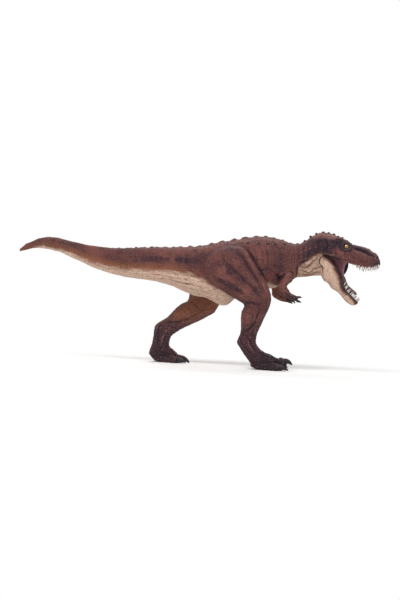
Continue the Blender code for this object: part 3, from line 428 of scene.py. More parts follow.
def sculpt_hide():
    """One skin over all the castings: fitted to the photo's outline, folded, shaped and painted."""
    hide = voxel_hide(HIDE_NODES, HIDE_STEP, SEAM_FILL)
    hide.even_out(SMOOTHING_ROUNDS)
    distances = nearest_nodes(hide, HIDE_NODES)
    hide.owner = hide.soften(distances, 3).argmin(1)
    share = {
        node: hide.soften((hide.owner == k).astype(float), 12) for k, node in enumerate(HIDE_NODES)
    }
    hide.share = share
    hide.trunk = share["torso"] + share["tail"] + share["head"]
    normals = hide.normals()
    hide.co -= normals * SEAM_FILL
    round_off_roots(hide, distances, share, normals)
    for _ in range(2):
        fit_outline(hide)
    normals = hide.normals()
    amount = hide.start_strokes()
    facing = np.clip(np.abs(normals[:, 1]) * 1.7, 0, 1)
    belly_facing = np.clip(facing + 0.3, 0, 1)
    for folds, faced in ((TRUNK_RIDGES, facing), (TRUNK_CREASES, facing), (BELLY_CREASES, belly_facing)):
        hide.press(folds.values(), faced, amount, share=hide.trunk)
    for side, rows, leg in ((-1, RIGHT_LEG_ROWS, "right_leg"), (1, LEFT_LEG_ROWS, "left_leg")):
        near_leg = np.clip(share[leg] + 0.55 * share["torso"], 0, 1)
        for folds in (LEG_RIDGES, LEG_CREASES):
            strokes = [(leg_path(rows, places), width, height) for places, width, height in folds.values()]
            hide.press(strokes, facing, amount, side, near_leg)
    for side, arm in ((-1, "right_arm"), (1, "left_arm")):
        shift_x, shift_z = ARM_SHIFT[arm]
        strokes = [
            ([(x + shift_x, z + shift_z) for x, z in path], width, height)
            for path, width, height in ARM_FOLDS.values()
        ]
        hide.press(strokes, facing, amount, side, share[arm])
    amount += relief(hide, share, facing)
    sculpt_face(hide, normals, amount)
    sculpt_back(hide, amount)
    sculpt_toes(hide, normals, amount)
    well = carve_well(hide, share, normals)
    hide.co += normals * (amount * (1 - well) - WELL_DEPTH * well)[:, None]
    shape_by_photo(hide, share)
    shrink_claws(hide)
    hide.co = np.clip(hide.co, *CAD_BOX)
    paint_hide(hide, share)
    return hide


def round_off_roots(hide, distances, share, normals):
    """Softens the joint lines of the glued limbs and flattens the solid's plain back knobs."""
    two_nearest = np.sort(distances, axis=1)[:, 1]
    joint = hide.soften((two_nearest < 1.6 * MM).astype(float), 4)
    top = (np.abs(hide.co[:, 1]) < 4.2 * MM) & (normals[:, 2] > -0.2) & (hide.co[:, 2] > 95 * MM)
    top &= (hide.co[:, 0] > -75 * MM) & (hide.co[:, 0] < 146 * MM)
    knobs = hide.soften((top & (share["head"] + share["torso"] + share["tail"] > 0.5)).astype(float), 2)
    weight = np.clip(joint * 1.5 + knobs, 0, 1)[:, None]
    for _ in range(KNOB_ROUNDS):
        hide.co += weight * 0.6 * (hide.averaged(hide.co) - hide.co)
    x, z = hide.co[:, 0] / MM, hide.co[:, 2] / MM
    root = np.zeros(len(x))
    for leg, edge in (("right_leg", 42), ("left_leg", 36)):
        wide = hide.soften(share[leg], ROOT_SPREAD)
        root += 4 * wide * (1 - wide) * eased(edge, edge - 12, x) * eased(70, 80, z)
    for arm in ("right_arm", "left_arm"):
        wide = hide.soften(share[arm], ROOT_SPREAD // 2)
        root += 4 * wide * (1 - wide)
    weight = np.clip(root * 1.3, 0, 1)[:, None]
    for _ in range(ROOT_ROUNDS):
        hide.co += weight * 0.8 * (hide.averaged(hide.co) - hide.co)


# Upper and lower outline of the trunk between its knobs: X and Z in millimetres
TOP_LINE = (
    (-161.1, 108.1), (-153.7, 111.8), (-144.4, 113.7), (-133.0, 113.1), (-117.7, 109.9),
    (-102.5, 107.4), (-87.3, 106.3), (-72.2, 106.7), (-57.2, 107.9), (-42.2, 109.2), (-27.1, 110.0),
    (-15.8, 110.7), (-6.4, 111.7), (3.9, 113.5), (17.9, 117.2), (32.8, 119.9), (47.7, 123.3),
    (55.2, 124.2), (62.8, 124.4), (70.4, 123.5), (78.0, 121.8), (85.7, 119.4), (91.4, 119.2),
    (96.9, 122.2), (100.4, 124.8), (105.8, 128.8), (110.5, 130.9), (113.4, 131.2), (119.1, 131.2),
    (122.2, 130.8), (127.9, 129.1), (131.8, 127.4), (136.4, 125.8), (138.3, 124.9), (142.3, 122.2),
    (148.1, 120.5), (153.8, 119.9), (158.2, 118.6), (161.5, 116.6), (164.8, 113.4),
)
LOW_LINE = (
    (-153.2, 102.4), (-143.7, 101.7), (-132.3, 99.3), (-116.9, 93.0), (-101.4, 86.7), (-86.1, 82.3),
    (-70.8, 79.3), (-55.6, 78.2), (-40.5, 76.7), (-25.1, 72.8), (-13.6, 68.2), (-4.0, 64.9),
    (6.5, 63.6), (13.3, 60.6), (20.9, 57.2), (28.5, 57.6), (35.7, 64.2), (50.6, 69.7), (65.4, 74.7),
    (80.3, 78.8), (93.1, 87.5), (98.7, 88.2), (109.9, 89.9),
)

# Where the outline is measured, and how far it may be drawn in or pushed out, in millimetres
STATION_GAP, STATION_REACH = 2.0, 1.3
MOST_PULL, MOST_PUSH = 1.0, 3.2


def fit_outline(hide):
    """Stretches the trunk up and down until its outline meets the photograph's."""
    x, y, z = hide.co.T / MM
    for sign, line, other in ((1, TOP_LINE, LOW_LINE), (-1, LOW_LINE, TOP_LINE)):
        stations = np.arange(line[0][0], line[-1][0], STATION_GAP)
        edges = np.full(len(stations), np.nan)
        for k, station in enumerate(stations):
            near = (np.abs(x - station) < STATION_REACH) & (hide.trunk > 0.6)
            if near.any():
                edges[k] = (sign * z[near]).max()
        wanted = sign * on_line(line, stations)
        lack = np.clip(np.nan_to_num(wanted - edges), -MOST_PULL, MOST_PUSH)
        lack = np.convolve(np.pad(lack, 1, mode="edge"), (0.25, 0.5, 0.25), mode="valid")
        edge = on_line(line, x)
        middle = np.where(x > 112, 112.0, 0.5 * (edge + on_line(other, x)))
        reach = np.clip((z - middle) / (edge - middle), 0, 1.1) ** 1.6
        fade = eased(line[0][0] - 6, line[0][0], x) * eased(line[-1][0] + 3, line[-1][0], x)
        push = sign * np.interp(x, stations, lack) * reach * fade
        hide.co[:, 2] += push * np.clip(hide.trunk, 0, 1) * MM


# Raised knobs of the back as part of the hide: X, half length and height in millimetres
BACK_BUMPS = (
    (-77.0, 1.4, 0.5), (-69.5, 1.6, 0.6), (-65.5, 1.3, 0.5), (-60.9, 1.6, 0.7), (-56.0, 1.4, 0.6),
    (-52.8, 1.5, 0.6), (-46.3, 1.8, 0.8), (-41.5, 1.4, 0.5), (-33.5, 2.0, 0.8), (-26.0, 1.5, 0.6),
    (-19.5, 2.0, 0.8), (-9.7, 2.1, 1.0), (-1.0, 1.8, 0.8), (9.4, 2.3, 1.2), (20.2, 2.6, 1.3),
    (30.8, 3.0, 1.5), (41.6, 3.2, 1.8), (51.2, 2.3, 1.3), (60.6, 1.7, 1.0), (68.8, 1.6, 0.9),
    (77.0, 1.4, 0.9), (84.5, 1.3, 0.8),
)


def sculpt_back(hide, amount):
    """Low, broad knobs that rise out of the skin along the middle of the back."""
    x, y, z = hide.co.T / MM
    trunk = hide.share["torso"] + hide.share["tail"]
    top = eased(80, 95, z) * trunk
    proud = np.zeros(len(x))
    for middle, half, height in BACK_BUMPS:
        away = ((x - middle) / half) ** 2 + (y / (0.62 * half + 0.5)) ** 2
        proud += height * np.exp(-(away**1.3))
    amount += proud * top * MM
    hide.masks["knob"] = np.clip(proud, 0, 1) * top


def sculpt_toes(hide, normals, amount):
    """Grooves between the toes, a swollen knuckle on each and wrinkles across their tops."""
    for leg, i, knuckle, heading, length, _ in toes():
        off, along, across = on_toe(hide, knuckle, heading, length)
        near = hide.share[leg] * eased(14, 11, off[:, 2]) * eased(0.25, 0.4, along) * eased(1.1, 1.0, along)
        top = np.clip(normals[:, 2] * 1.4, 0, 1)
        mine = bell(across, 2.6) * near
        knuckles = bell(along - 0.55, 0.12) + bell(along - 0.86, 0.10)
        cuticle = bell(along - 0.97, 0.05) * bell(across, 3.2) * hide.share[leg]
        amount += (0.55 * mine * knuckles * top + 0.7 * cuticle * (off[:, 2] < 14)) * MM
        wrinkles = np.clip(np.sin(along * 2 * math.pi * 6.5), 0, 1) ** 2
        amount -= 0.30 * mine * wrinkles * top * MM
        if i != MIDDLE_TOE:
            groove = math.copysign(3.3, -(i - 1) * TOE_ROOTS[leg][2])
            between = bell(across - groove, 0.8) * near
            amount -= 0.9 * between * MM
            hide.masks["crease"] = np.maximum(hide.masks["crease"], 0.8 * between)


# Extra room between the mouth's walls and the closing jaw
WELL_DEPTH = 0.5 * MM


def carve_well(hide, share, normals):
    """1 on the walls and ceiling inside the mouth, where the closing jaw's cheeks need room."""
    x, y, z = hide.co.T / MM
    inward = np.maximum(-normals[:, 1] * np.sign(y), -normals[:, 2])
    place = eased(118, 121, x) * eased(138, 135, x) * eased(106, 108, z) * eased(119, 118, z)
    place = place * (np.abs(y) < 9.5)
    return eased(0.2, 0.6, inward) * place * share["head"]


# How far the photograph's outline stands off the plain solid: place, reach and push in millimetres
NUDGES = (
    ("head", (167.4, 109.8), 3.2, (1.4, 0.5)), ("head", (170.0, 103.4), 2.2, (-0.7, 0.1)),
    ("head", (169.4, 107.0), 2.4, (0.7, 0.0)), ("head", (165.4, 113.0), 3.4, (1.1, 0.8)),
    ("right_arm", (85.0, 79.5), 3.6, (-2.2, 0.0)), ("right_arm", (87.8, 73.5), 3.0, (-1.5, -0.6)),
    ("right_arm", (76.5, 79.0), 3.0, (-1.6, 0.0)), ("right_arm", (92.4, 68.0), 2.8, (0.9, 0.0)),
    ("left_arm", (87.0, 64.4), 3.6, (3.5, -0.5)), ("left_arm", (69.5, 72.0), 4.5, (2.2, 0.0)),
    ("left_leg", (-42.0, 8.5), 3.0, (-0.2, -1.8)),
)
# How far each leg, and the front of the far shin, moves forward: height and push in millimetres
LEG_SHIFTS = {
    "right_leg": ((8, 0), (16, -1.6), (24, -2.6), (40, -2.3), (60, -2.7), (69, -2.0), (80, 0)),
    "left_leg": ((9, 0.2), (16, 1.2), (22, 1.9), (33, 2.4), (45, 3.0), (56, 3.0), (67, 3.4), (76, 1.8),
        (85, 0)),
}
SHIN_FRONT = ((15, 0), (25, 0.8), (33, 2.4), (40, 2.8), (48, 2.4), (56, 1.4), (64, 0))
# Soles behind the ball of the foot: X and lowest Z in millimetres
HEEL_LINES = {
    "right_leg": ((43.0, 8.5), (51.0, 3.4), (56.0, 0.9), (60.0, 0.0)),
    "left_leg": ((-46.0, 8.6), (-43.5, 6.2), (-38.4, 1.1), (-34.0, 0.0)),
}


def shape_by_photo(hide, share):
    """Brings the snout, the throat, the limbs and the heels to the photograph's outline."""
    x, z = hide.co[:, 0] / MM, hide.co[:, 2] / MM
    for node, place, reach, (push_x, push_z) in NUDGES:
        near = spot(x, z, place, reach) * share[node]
        hide.co[:, 0] += near * push_x * MM
        hide.co[:, 2] += near * push_z * MM
    meet_jaw(hide, share)
    for leg, line in LEG_SHIFTS.items():
        hide.co[:, 0] += on_line(line, z) * share[leg] * MM
    front = np.clip(hide.normals()[:, 0] * 1.3, 0, 1)
    hide.co[:, 0] += on_line(SHIN_FRONT, z) * front * share["left_leg"] * MM
    for leg, i, knuckle, heading, length, _ in toes():
        if leg == "right_leg" and i == MIDDLE_TOE:
            _, along, across = on_toe(hide, knuckle, heading, length)
            raised = RAISED_TOE * eased(0.55, 0.92, along) * eased(4.2, 2.8, np.abs(across))
            raised = raised * (share[leg] > 0.5)
            hide.co[:, 2] += np.minimum(z, 9.0) * raised * (z < FOOT_TOP) * MM
    for leg, line in HEEL_LINES.items():
        floor = on_line(line, x)
        lifted = np.where(z < floor + HEEL_ROUND, floor + z * HEEL_ROUND / (floor + HEEL_ROUND), z)
        hide.co[:, 2] += (share[leg] > 0.5) * (z < FOOT_TOP) * (lifted - z) * MM


# The throat: from where rays look for the jaw, how far, where they end, the gap left and the most stretch
THROAT_START, THROAT_RAY, THROAT_END, THROAT_GAP, THROAT_STRETCH = 107.0, 9, 115.0, 0.6, 4.4
FAR = 99.0


def meet_jaw(hide, share):
    """Draws the front of the throat up to the back of the jaw, just short of touching it."""
    jaw = BVHTree.FromPolygons(*polygons_of("lower_jaw"))
    x, y, z = hide.co.T / MM
    near = eased(107.0, 111.2, x) * (x < 113.5) * (share["head"] > 0.2)
    near = near * eased(86.5, 89.5, z) * eased(101.5, 99.0, z) * (np.abs(y) < 13)
    reach = np.zeros(len(x))
    limit = np.full(len(x), FAR)
    for i in np.flatnonzero(near > 0):
        start = Vector((THROAT_START, y[i], z[i])) * MM
        hit = jaw.ray_cast(start, Vector((1, 0, 0)), THROAT_RAY * MM)
        limit[i] = (hit[0].x / MM if hit[0] else THROAT_END) - THROAT_GAP - x[i]
        reach[i] = min(max(limit[i], 0.0), THROAT_STRETCH)
    reach = np.minimum(hide.soften(reach * near, 3), np.maximum(limit, 0))
    hide.co[:, 0] += reach * MM


def polygons_of(node):
    """The points and faces of a CAD node."""
    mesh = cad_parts[node].data
    return [v.co.copy() for v in mesh.vertices], [tuple(p.vertices) for p in mesh.polygons]


PEBBLE_SIZE, LARGE_PEBBLE_SIZE, PLATE_HEIGHT = 1.9, 3.4, 2.1


def relief(hide, share, facing):
    """Fine skin: folds up the flanks and along the belly, pebbles, and plates on the shins."""
    co = hide.co
    x, z = co[:, 0] / MM, co[:, 2] / MM
    limbs = share["right_leg"] + share["left_leg"] + share["right_arm"] + share["left_arm"]
    below = belly_share(co) * (1 - limbs)
    flank = eased(38, 52, x) * eased(128, 112, x) * (1 - limbs) * (1 - below)
    upright = lines_of(noise_at(co, (330, 90, 60), 1), 5.0) * eased(-0.3, 0.3, noise_at(co, 60, 2))
    cross = lines_of(noise_at(co, (130, 130, 240), 3), 6.0)
    lengthwise = lines_of(noise_at(co, (60, 220, 260), 4), 4.5)
    rings = lines_of(noise_at(co, (260, 60, 80), 5), 5.0) * eased(-20, -60, x) * share["tail"]
    pebble = pebbles_at(co, PEBBLE_SIZE * MM)
    large = pebbles_at(co + 0.4 * MM * noise_at(co, 300, 6)[:, None], LARGE_PEBBLE_SIZE * MM)
    lumps = noise_at(co, 110, 7)
    folds = -0.26 * upright * flank - 0.11 * cross * (1 - below) - 0.34 * lengthwise * below - 0.12 * rings
    skin = 0.22 * (pebble - 0.5) * (1 - 0.45 * below) + 0.15 * (large - 0.5) * (1 - below)
    shin = share["right_leg"] + share["left_leg"]
    plates = np.clip(np.sin(z * 2 * math.pi / PLATE_HEIGHT + 1.2 * lumps), -0.2, 1)
    plates = plates * eased(34, 26, z) * eased(5, 9, z)
    plates = plates * eased(0.1, 0.7, hide.normals()[:, 0]) * shin
    return (folds + skin + 0.26 * lumps * (1 - 0.5 * limbs) + 0.26 * plates) * MM


def belly_share(co):
    """1 under the line where the brown back meets the pale belly."""
    edge = on_line(BELLY_LINE, co[:, 0] / MM)
    soft = 1.6 + 1.2 * np.interp(co[:, 0] / MM, (-170, -60, 60), (0.0, 1.0, 0.6))
    ragged = 1.5 * noise_at(co, (120, 120, 300), 9) + 0.8 * noise_at(co, (500, 500, 700), 10)
    return eased(-soft, soft, edge - co[:, 2] / MM + ragged)


EYE = (136.4, 119.0)
NOSTRIL = (165.4, 109.6)
# Bumps on both sides of the nose and over the eyes: X and Z, and how far from the middle they sit
NOSE_BUMPS = (
    (144.8, 121.8), (148.2, 120.8), (151.6, 120.4), (155.3, 119.6), (158.8, 118.0), (161.8, 115.8),
    (164.2, 113.6),
)
BROW_BUMPS = (
    (126.4, 129.4), (129.2, 128.2), (132.0, 127.2), (134.8, 126.2), (137.6, 125.0), (140.2, 123.4),
    (142.5, 122.0),
)
NOSE_APART, NOSE_NARROWING, BROW_APART = 3.4, 0.25, 6.4


def sculpt_face(hide, normals, amount):
    """Eye sockets with swollen rims, nostrils and the knobbly bridge of the nose."""
    x, y, z = hide.co.T / MM
    head = hide.share["head"]
    side = np.abs(normals[:, 1])
    from_eye = np.hypot(x - EYE[0], (z - EYE[1]) * 1.25)
    socket = bell(from_eye, 2.0)
    rim = bell(from_eye - 4.0, 1.5) * (0.55 + 0.55 * eased(-1, 2, z - EYE[1]))
    amount += (1.25 * rim - 0.3 * socket) * head * eased(0.2, 0.6, side) * MM
    from_nostril = np.hypot(x - NOSTRIL[0], (z - NOSTRIL[1]) * 1.3)
    hole = bell(from_nostril, 0.9) * eased(2.0, 3.4, np.abs(y))
    wing = bell(from_nostril - 1.8, 0.7)
    amount += (0.35 * wing - 1.2 * hole) * head * eased(0.2, 0.5, side) * MM
    for i, (bump_x, bump_z) in enumerate(NOSE_BUMPS + BROW_BUMPS):
        apart = NOSE_APART - NOSE_NARROWING * i if i < len(NOSE_BUMPS) else BROW_APART
        for across in (-1, 1):
            away = np.sqrt((x - bump_x) ** 2 + (z - bump_z) ** 2 + (y - across * apart) ** 2)
            amount += 0.8 * bell(away, 1.2) * head * MM
    hide.masks["socket"] = np.clip(bell(from_eye, 4.0) + hole, 0, 1) * head * eased(0.1, 0.4, side)


# Toes, as the part has them: the root of each foot's toes and the middle toe's size
TOE_ROOTS = {"right_leg": (58.4, -22.0, -1), "left_leg": (-36.7, 22.0, 1)}
TOE_LENGTH = 24.5
TOE_HEIGHT = 11.5
TOE_SPREAD = math.radians(21)
TOE_GAP = 2.75
TOE_LENGTH_SHARES = (0.84, 1.0, 0.86)
TOE_HEIGHT_SHARES = (0.87, 1.0, 0.92)
MIDDLE_TOE = 1
RAISED_TOE = 0.62
FOOT_TOP = 14
HEEL_ROUND = 2.0


def toes():
    """Leg, knuckle, heading, length and height of each toe, from the inner to the outer one."""
    for leg, (x, y, side) in TOE_ROOTS.items():
        for i in range(3):
            turn = side * (i - 1)
            heading = np.array((math.cos(turn * TOE_SPREAD), math.sin(turn * TOE_SPREAD), 0))
            knuckle = np.array((x, y + turn * TOE_GAP, 0))
            length, height = TOE_LENGTH * TOE_LENGTH_SHARES[i], TOE_HEIGHT * TOE_HEIGHT_SHARES[i]
            yield leg, i, knuckle, heading, length, height


def on_toe(hide, knuckle, heading, length):
    """Each point's offset from a toe's knuckle, its share of the toe's length, and its place across."""
    off = hide.co / MM - knuckle
    return off, off @ heading / length, off @ np.array((-heading[1], heading[0], 0))


# Where the skin of each hand ends under its claws: X and lowest Z
FINGER_ENDS = (("right_arm", 92.6, 65.6), ("left_arm", 85.8, 63.2))


def shrink_claws(hide):
    """Draws the claw ends of the toes and fingers in, so that the separate claws cover them."""
    for leg, i, knuckle, heading, length, height in toes():
        _, along, across = on_toe(hide, knuckle, heading, length)
        near = eased(1.0, 1.06, along) * (np.abs(across) < 3.4)
        near = near * (hide.co[:, 2] < 9 * MM) * (hide.share[leg] > 0.3)
        axis = knuckle + np.outer(np.minimum(along, 1.12) * length, heading) + (0, 0, 0.28 * height)
        hide.co += near[:, None] * 0.75 * (axis * MM - hide.co)
    for arm, start, low in FINGER_ENDS:
        x, z = hide.co[:, 0] / MM, hide.co[:, 2] / MM
        near = (hide.share[arm] > 0.3) * (z < 75)
        hide.co[:, 0] -= near * (x > start) * 0.7 * (x - start) * MM
        hide.co[:, 2] += near * (z < low) * 0.85 * (low - z) * MM


DARKEST = 1.6


def paint_hide(hide, share):
    """Masks for the paint: pale belly, dark and warm patches, and how hollow or proud each point is."""
    co = hide.co
    x, y, z = co.T / MM
    limbs = {side: share[f"{side}_leg"] for side in ("right", "left")}
    legs = limbs["right"] + limbs["left"]
    arms = share["right_arm"] + share["left_arm"]
    normals = hide.normals()
    belly = belly_share(co) * np.clip(1 - 1.6 * (legs + arms), 0, 1)
    above = z - on_line(BELLY_LINE, x)
    tail_end = np.interp(x, (-170, -125, -95, -60), (0.30, 0.5, 0.9, 0.75))
    warm = bell(above - 2.2, 3.6) * eased(20, -30, x) * (1 - legs) * tail_end
    warm += 0.30 * bell(above + 0.5, 3.0) * eased(85, 94, x) * (1 - arms)
    chest = bell(x - 90.5, 2.6) * eased(98, 92, z) * share["torso"]
    warm += 0.55 * chest
    inner = {"right": eased(0.2, 0.8, normals[:, 1]), "left": eased(0.2, 0.8, -normals[:, 1])}
    for side, mask in limbs.items():
        warm += 0.62 * inner[side] * mask * eased(34, 50, z)
    warm += 0.35 * share["left_arm"] * eased(0.2, -0.5, normals[:, 1])
    dark = 0.22 + 0.22 * noise_at(co, (45, 45, 60), 11) + 0.22 * noise_at(co, (130, 130, 170), 12)
    dark += 0.76 * legs * eased(58, 18, z)
    dark += 0.40 * eased(112, 124, z) * share["head"] * eased(118, 126, x)
    dark += 0.74 * eased(126, 118, x) * eased(89, 107, x + 0.35 * (112 - z)) * (1 - belly)
    dark += -0.10 * arms + 0.75 * eased(89, 95, x) * eased(117, 113, x) * belly
    dark += 0.5 * eased(-145, -160, x) * belly + 0.12 * belly * eased(92, 80, z)
    bars = noise_at(co, (330, 80, 80), 13)
    for path, width, amount in DARK_PATCHES:
        index, near = hide.fall(path, width)
        broken = 0.85 + 0.35 * hide.grain[index] + 0.7 * bars[index]
        dark[index] += near * amount * broken * np.clip(np.abs(normals[index, 1]) * 1.6, 0.15, 1)
    dark += 0.42 * hide.masks["crease"] ** 1.5 + 1.3 * hide.masks["socket"] + 0.3 * hide.masks["knob"]
    crown = 0.62 * eased(122.0, 127, z) * eased(101, 107, x) * eased(129, 124, x)
    dark -= 0.25 * hide.masks["ridge"] + crown
    # Lighter tops of the neck, the near thigh, the snout and the back where they face up: their hollow mask
    # is lowered, so they take less wash and more dry brush
    lighter_tops = eased(122.5, 127.5, z) * eased(100, 106, x) * eased(130, 124, x)
    lighter_tops += 0.5 * np.exp(-(((x - 30) / 12) ** 2 + ((z - 111) / 5.0) ** 2)) * share["right_leg"]
    lighter_tops += 0.6 * eased(0.35, 0.8, normals[:, 2]) * eased(134, 142, x) * share["head"]
    lighter_tops += 0.4 * eased(0.2, 0.7, normals[:, 2]) * eased(105, 112, z) * (share["torso"] + share["tail"])
    lighter_tops = np.clip(lighter_tops, 0, 1)
    hide.masks.update(
        belly=np.clip(belly, 0, 1), warm=np.clip(warm, 0, 1), dark=np.clip(dark, 0, DARKEST) / DARKEST,
        hollow=np.clip(hide.hollowness(normals, 5, 0.22 * MM) - 0.30 * lighter_tops, 0, 1),
    )


# Dark markings on both flanks, with painted shade in the armpit: path, width, strength
DARK_PATCHES = (
    (((-58, 97.5), (-44, 98), (-34, 98.6), (-20, 98.4), (-5, 98)), 3.2, 0.75),
    (((-16, 99), (-8, 99), (4, 98)), 3.6, 0.35),
    (((21.8, 109.7), (30.7, 110.6), (38.2, 106.5), (42.7, 99.4)), 3.6, 0.65),
    (((42.7, 99.4), (47.5, 92.5), (51.5, 86.1), (56, 79.5)), 2.4, 0.40),
    (((20.6, 100.7), (28.4, 91.4), (36.9, 85.3), (45.3, 80.9), (52.0, 76.3), (58.9, 68.6)), 3.4, 0.55),
    (((6.6, 88.6), (13.4, 84.1), (20.8, 81.2), (29.2, 76.8), (35.9, 73.9), (44.2, 70.2)), 2.8, 0.50),
    (((38, 114.4), (43.7, 110.5), (49.5, 102), (54.8, 93.5), (58.5, 88)), 1.5, 0.80),
    (((74, 110), (75, 100), (73, 92)), 4.5, 0.35),
    # Painted shade in the armpit, under the arm
    (((81.0, 91.5), (77.5, 87.8), (73.0, 84.4)), 1.8, 1.0),
    (((99, 103), (102.3, 106.5), (106.8, 110.9), (113.6, 113.7), (119, 117.5)), 3.2, 0.85),
    (((108, 121), (114, 123.6), (121, 123.4), (127, 122.6), (133, 122.0), (139, 121.4),
        (144, 120.0)), 3.0, 1.0),
    (((144, 119.6), (150, 117.8), (156, 115.6), (161, 112.8), (165, 110.4)), 1.7, 0.8),
    (((131, 120), (134, 117.4), (138, 116.6), (141, 118.4)), 1.8, 0.7),
    (((140, 120), (147.5, 117.5), (155, 115), (161, 112)), 1.6, 0.9),
    (((120, 118), (126, 120), (133, 121)), 4.2, 0.50),
    (((140, 104.6), (148, 102.2), (155, 101.0), (161, 101.4), (167, 102.6)), 0.9, 0.80),
    (((162, 102.8), (167, 103.4), (169.4, 106), (168.4, 110)), 2.4, 1.1),
    (((122, 107.6), (129, 106.8), (136, 105.4)), 1.8, 0.7),
    (((121, 114), (129, 112), (140, 111.5)), 4.5, 0.40),
    (((-166, 104), (-150, 110), (-130, 109), (-110, 103)), 3.2, 0.35),
    (((58, 62), (64, 50), (60, 36)), 3.0, 0.35),
)

# Folds of the right arm; the left arm's are the same, moved to it
ARM_SHIFT = {"right_arm": (0.0, 0.0), "left_arm": (-7.6, -2.0)}
ARM_FOLDS = {
    "elbow": (((76.5, 77.0), (79.5, 76.0), (83.0, 77.6)), 0.9, -0.55),
    "inner elbow": (((84.0, 79.2), (85.6, 76.6), (86.4, 74.8)), 1.1, -0.8),
    "upper muscle": (((80.5, 87.0), (80.0, 83.0), (79.4, 79.0)), 2.2, 0.6),
    "fore muscle": (((82.0, 74.4), (86.0, 72.2), (89.6, 70.4)), 1.8, 0.55),
    "wrist": (((90.6, 71.6), (91.2, 69.0), (90.6, 66.0)), 0.9, -0.55),
    "fingers": (((92.6, 67.7), (95.0, 67.5), (97.6, 67.4)), 0.7, -1.3),
    "fore line": (((80.2, 73.4), (84.2, 71.0), (88.6, 69.0)), 0.7, -0.4),
}


# Pieces

def piece(name, mesh, material, body, slot, *nodes):
    """A finished piece: its object rides on a body and stands for the CAD nodes."""
    mesh.materials.clear()
    mesh.materials.append(material)
    obj = bpy.data.objects.new(name, mesh)
    bpy.context.scene.collection.objects.link(obj)
    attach(obj, body)
    if nodes:
        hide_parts(*nodes)


def rim_loops(quads):
    """Edges that only one of these faces has, each in its face's own direction."""
    start = quads.ravel()
    end = np.roll(quads, -1, axis=1).ravel()
    size = quads.max() + 1
    forward, backward = start * size + end, end * size + start
    return np.stack([start, end], 1)[~np.isin(forward, backward)]


def hide_mesh(name, hide, normals, chosen):
    """The chosen faces as a closed mesh, with hidden caps over its rims and the whole hide's shading."""
    quads = hide.quads[chosen]
    used = np.unique(quads)
    place = np.full(len(hide.co), -1)
    place[used] = np.arange(len(used))
    quads = place[quads]
    co = hide.co[used]
    rims = rim_loops(quads)
    group = {}
    for a, b in rims.tolist():
        group.setdefault(a, a)
        group.setdefault(b, b)

    def root(a):
        while group[a] != a:
            group[a] = group[group[a]]
            a = group[a]
        return a

    for a, b in rims.tolist():
        group[root(a)] = root(b)
    loops = {}
    for a, b in rims.tolist():
        loops.setdefault(root(a), []).append((a, b))
    faces = quads.tolist()
    points = [co]
    count = len(used)
    inward = -normals[used]
    for edges in loops.values():
        index = np.array(edges)[:, 0]
        middle = co[index].mean(0) + inward[index].mean(0) * CAP_DEPTH
        points.append(middle[None])
        faces += [(b, a, count) for a, b in edges]
        count += 1
    mesh = bpy.data.meshes.new(name)
    mesh.from_pydata(np.concatenate(points).tolist(), [], faces)
    smooth = np.zeros(len(faces), bool)
    smooth[: len(quads)] = True
    mesh.polygons.foreach_set("use_smooth", smooth)
    for mask in ("belly", "warm", "dark", "hollow"):
        values = np.zeros(count, np.float32)
        values[: len(used)] = hide.masks[mask][used]
        mesh.attributes.new(mask, "FLOAT", "POINT").data.foreach_set("value", values)
    shading = np.zeros((quads.size + 3 * (len(faces) - len(quads)), 3))
    shading[: quads.size] = normals[used][quads.ravel()]
    mesh.normals_split_custom_set(shading.tolist())
    return mesh


def whole_mesh(name, part):
    """All of a sculpted part as one closed mesh."""
    return hide_mesh(name, part, part.normals(), np.ones(len(part.quads), bool))


def make_hide(material):
    """The skin, cut into one piece for each casting where the castings meet."""
    hide = sculpt_hide()
    normals = hide.normals()
    votes = hide.owner[hide.quads]
    owner = np.sort(votes, axis=1)[:, 1]
    for k, node in enumerate(HIDE_NODES):
        mesh = hide_mesh(f"{node}_hide", hide, normals, owner == k)
        piece(f"{node}_hide", mesh, material, "body", "brown_skin", node)
    return hide


# Node graphs

def linked(tree, kind, inputs=(), **settings):
    """A new node with its settings and inputs: a socket is linked, any other value is set."""
    node = tree.nodes.new(kind)
    for key, value in settings.items():
        setattr(node, key, value)
    for key, value in dict(inputs).items():
        if isinstance(value, bpy.types.NodeSocket):
            tree.links.new(value, node.inputs[key])
        else:
            node.inputs[key].default_value = value
    return node


def math_of(tree, operation, a, b=0.5, clamp=False):
    return linked(tree, "ShaderNodeMath", {0: a, 1: b}, operation=operation, use_clamp=clamp).outputs[0]


def mix_of(tree, share, a, b, blend="MIX"):
    node = linked(tree, "ShaderNodeMix", {0: share, 6: a, 7: b}, data_type="RGBA", blend_type=blend)
    return node.outputs[2]


def range_of(tree, value, low, high, to_low=0.0, to_high=1.0):
    inputs = {0: value, 1: low, 2: high, 3: to_low, 4: to_high}
    return linked(tree, "ShaderNodeMapRange", inputs, interpolation_type="SMOOTHSTEP").outputs[0]


def noise_of(tree, vector, scale, detail=3.0, roughness=0.55):
    inputs = {"Vector": vector, "Scale": scale, "Detail": detail, "Roughness": roughness}
    return linked(tree, "ShaderNodeTexNoise", inputs).outputs["Fac"]


def mask_of(tree, name):
    return linked(tree, "ShaderNodeAttribute", attribute_name=name).outputs["Fac"]


def painted(code):
    """A linear colour from its written form."""
    parts = [int(code[i:i + 2], 16) / 255 for i in (1, 3, 5)]
    return tuple(p / 12.92 if p <= 0.04045 else ((p + 0.055) / 1.055) ** 2.4 for p in parts) + (1.0,)


def node_group(name, tree_kind, inputs, outputs):
    """A new node group: its tree, the sockets that it is given and the sockets that it fills."""
    tree = bpy.data.node_groups.new(name, tree_kind)
    for socket, kind, value in inputs:
        made = tree.interface.new_socket(socket, in_out="INPUT", socket_type=kind)
        if value is not None:
            made.default_value = value
    for socket, kind in outputs:
        tree.interface.new_socket(socket, in_out="OUTPUT", socket_type=kind)
    return tree, tree.nodes.new("NodeGroupInput").outputs, tree.nodes.new("NodeGroupOutput").inputs


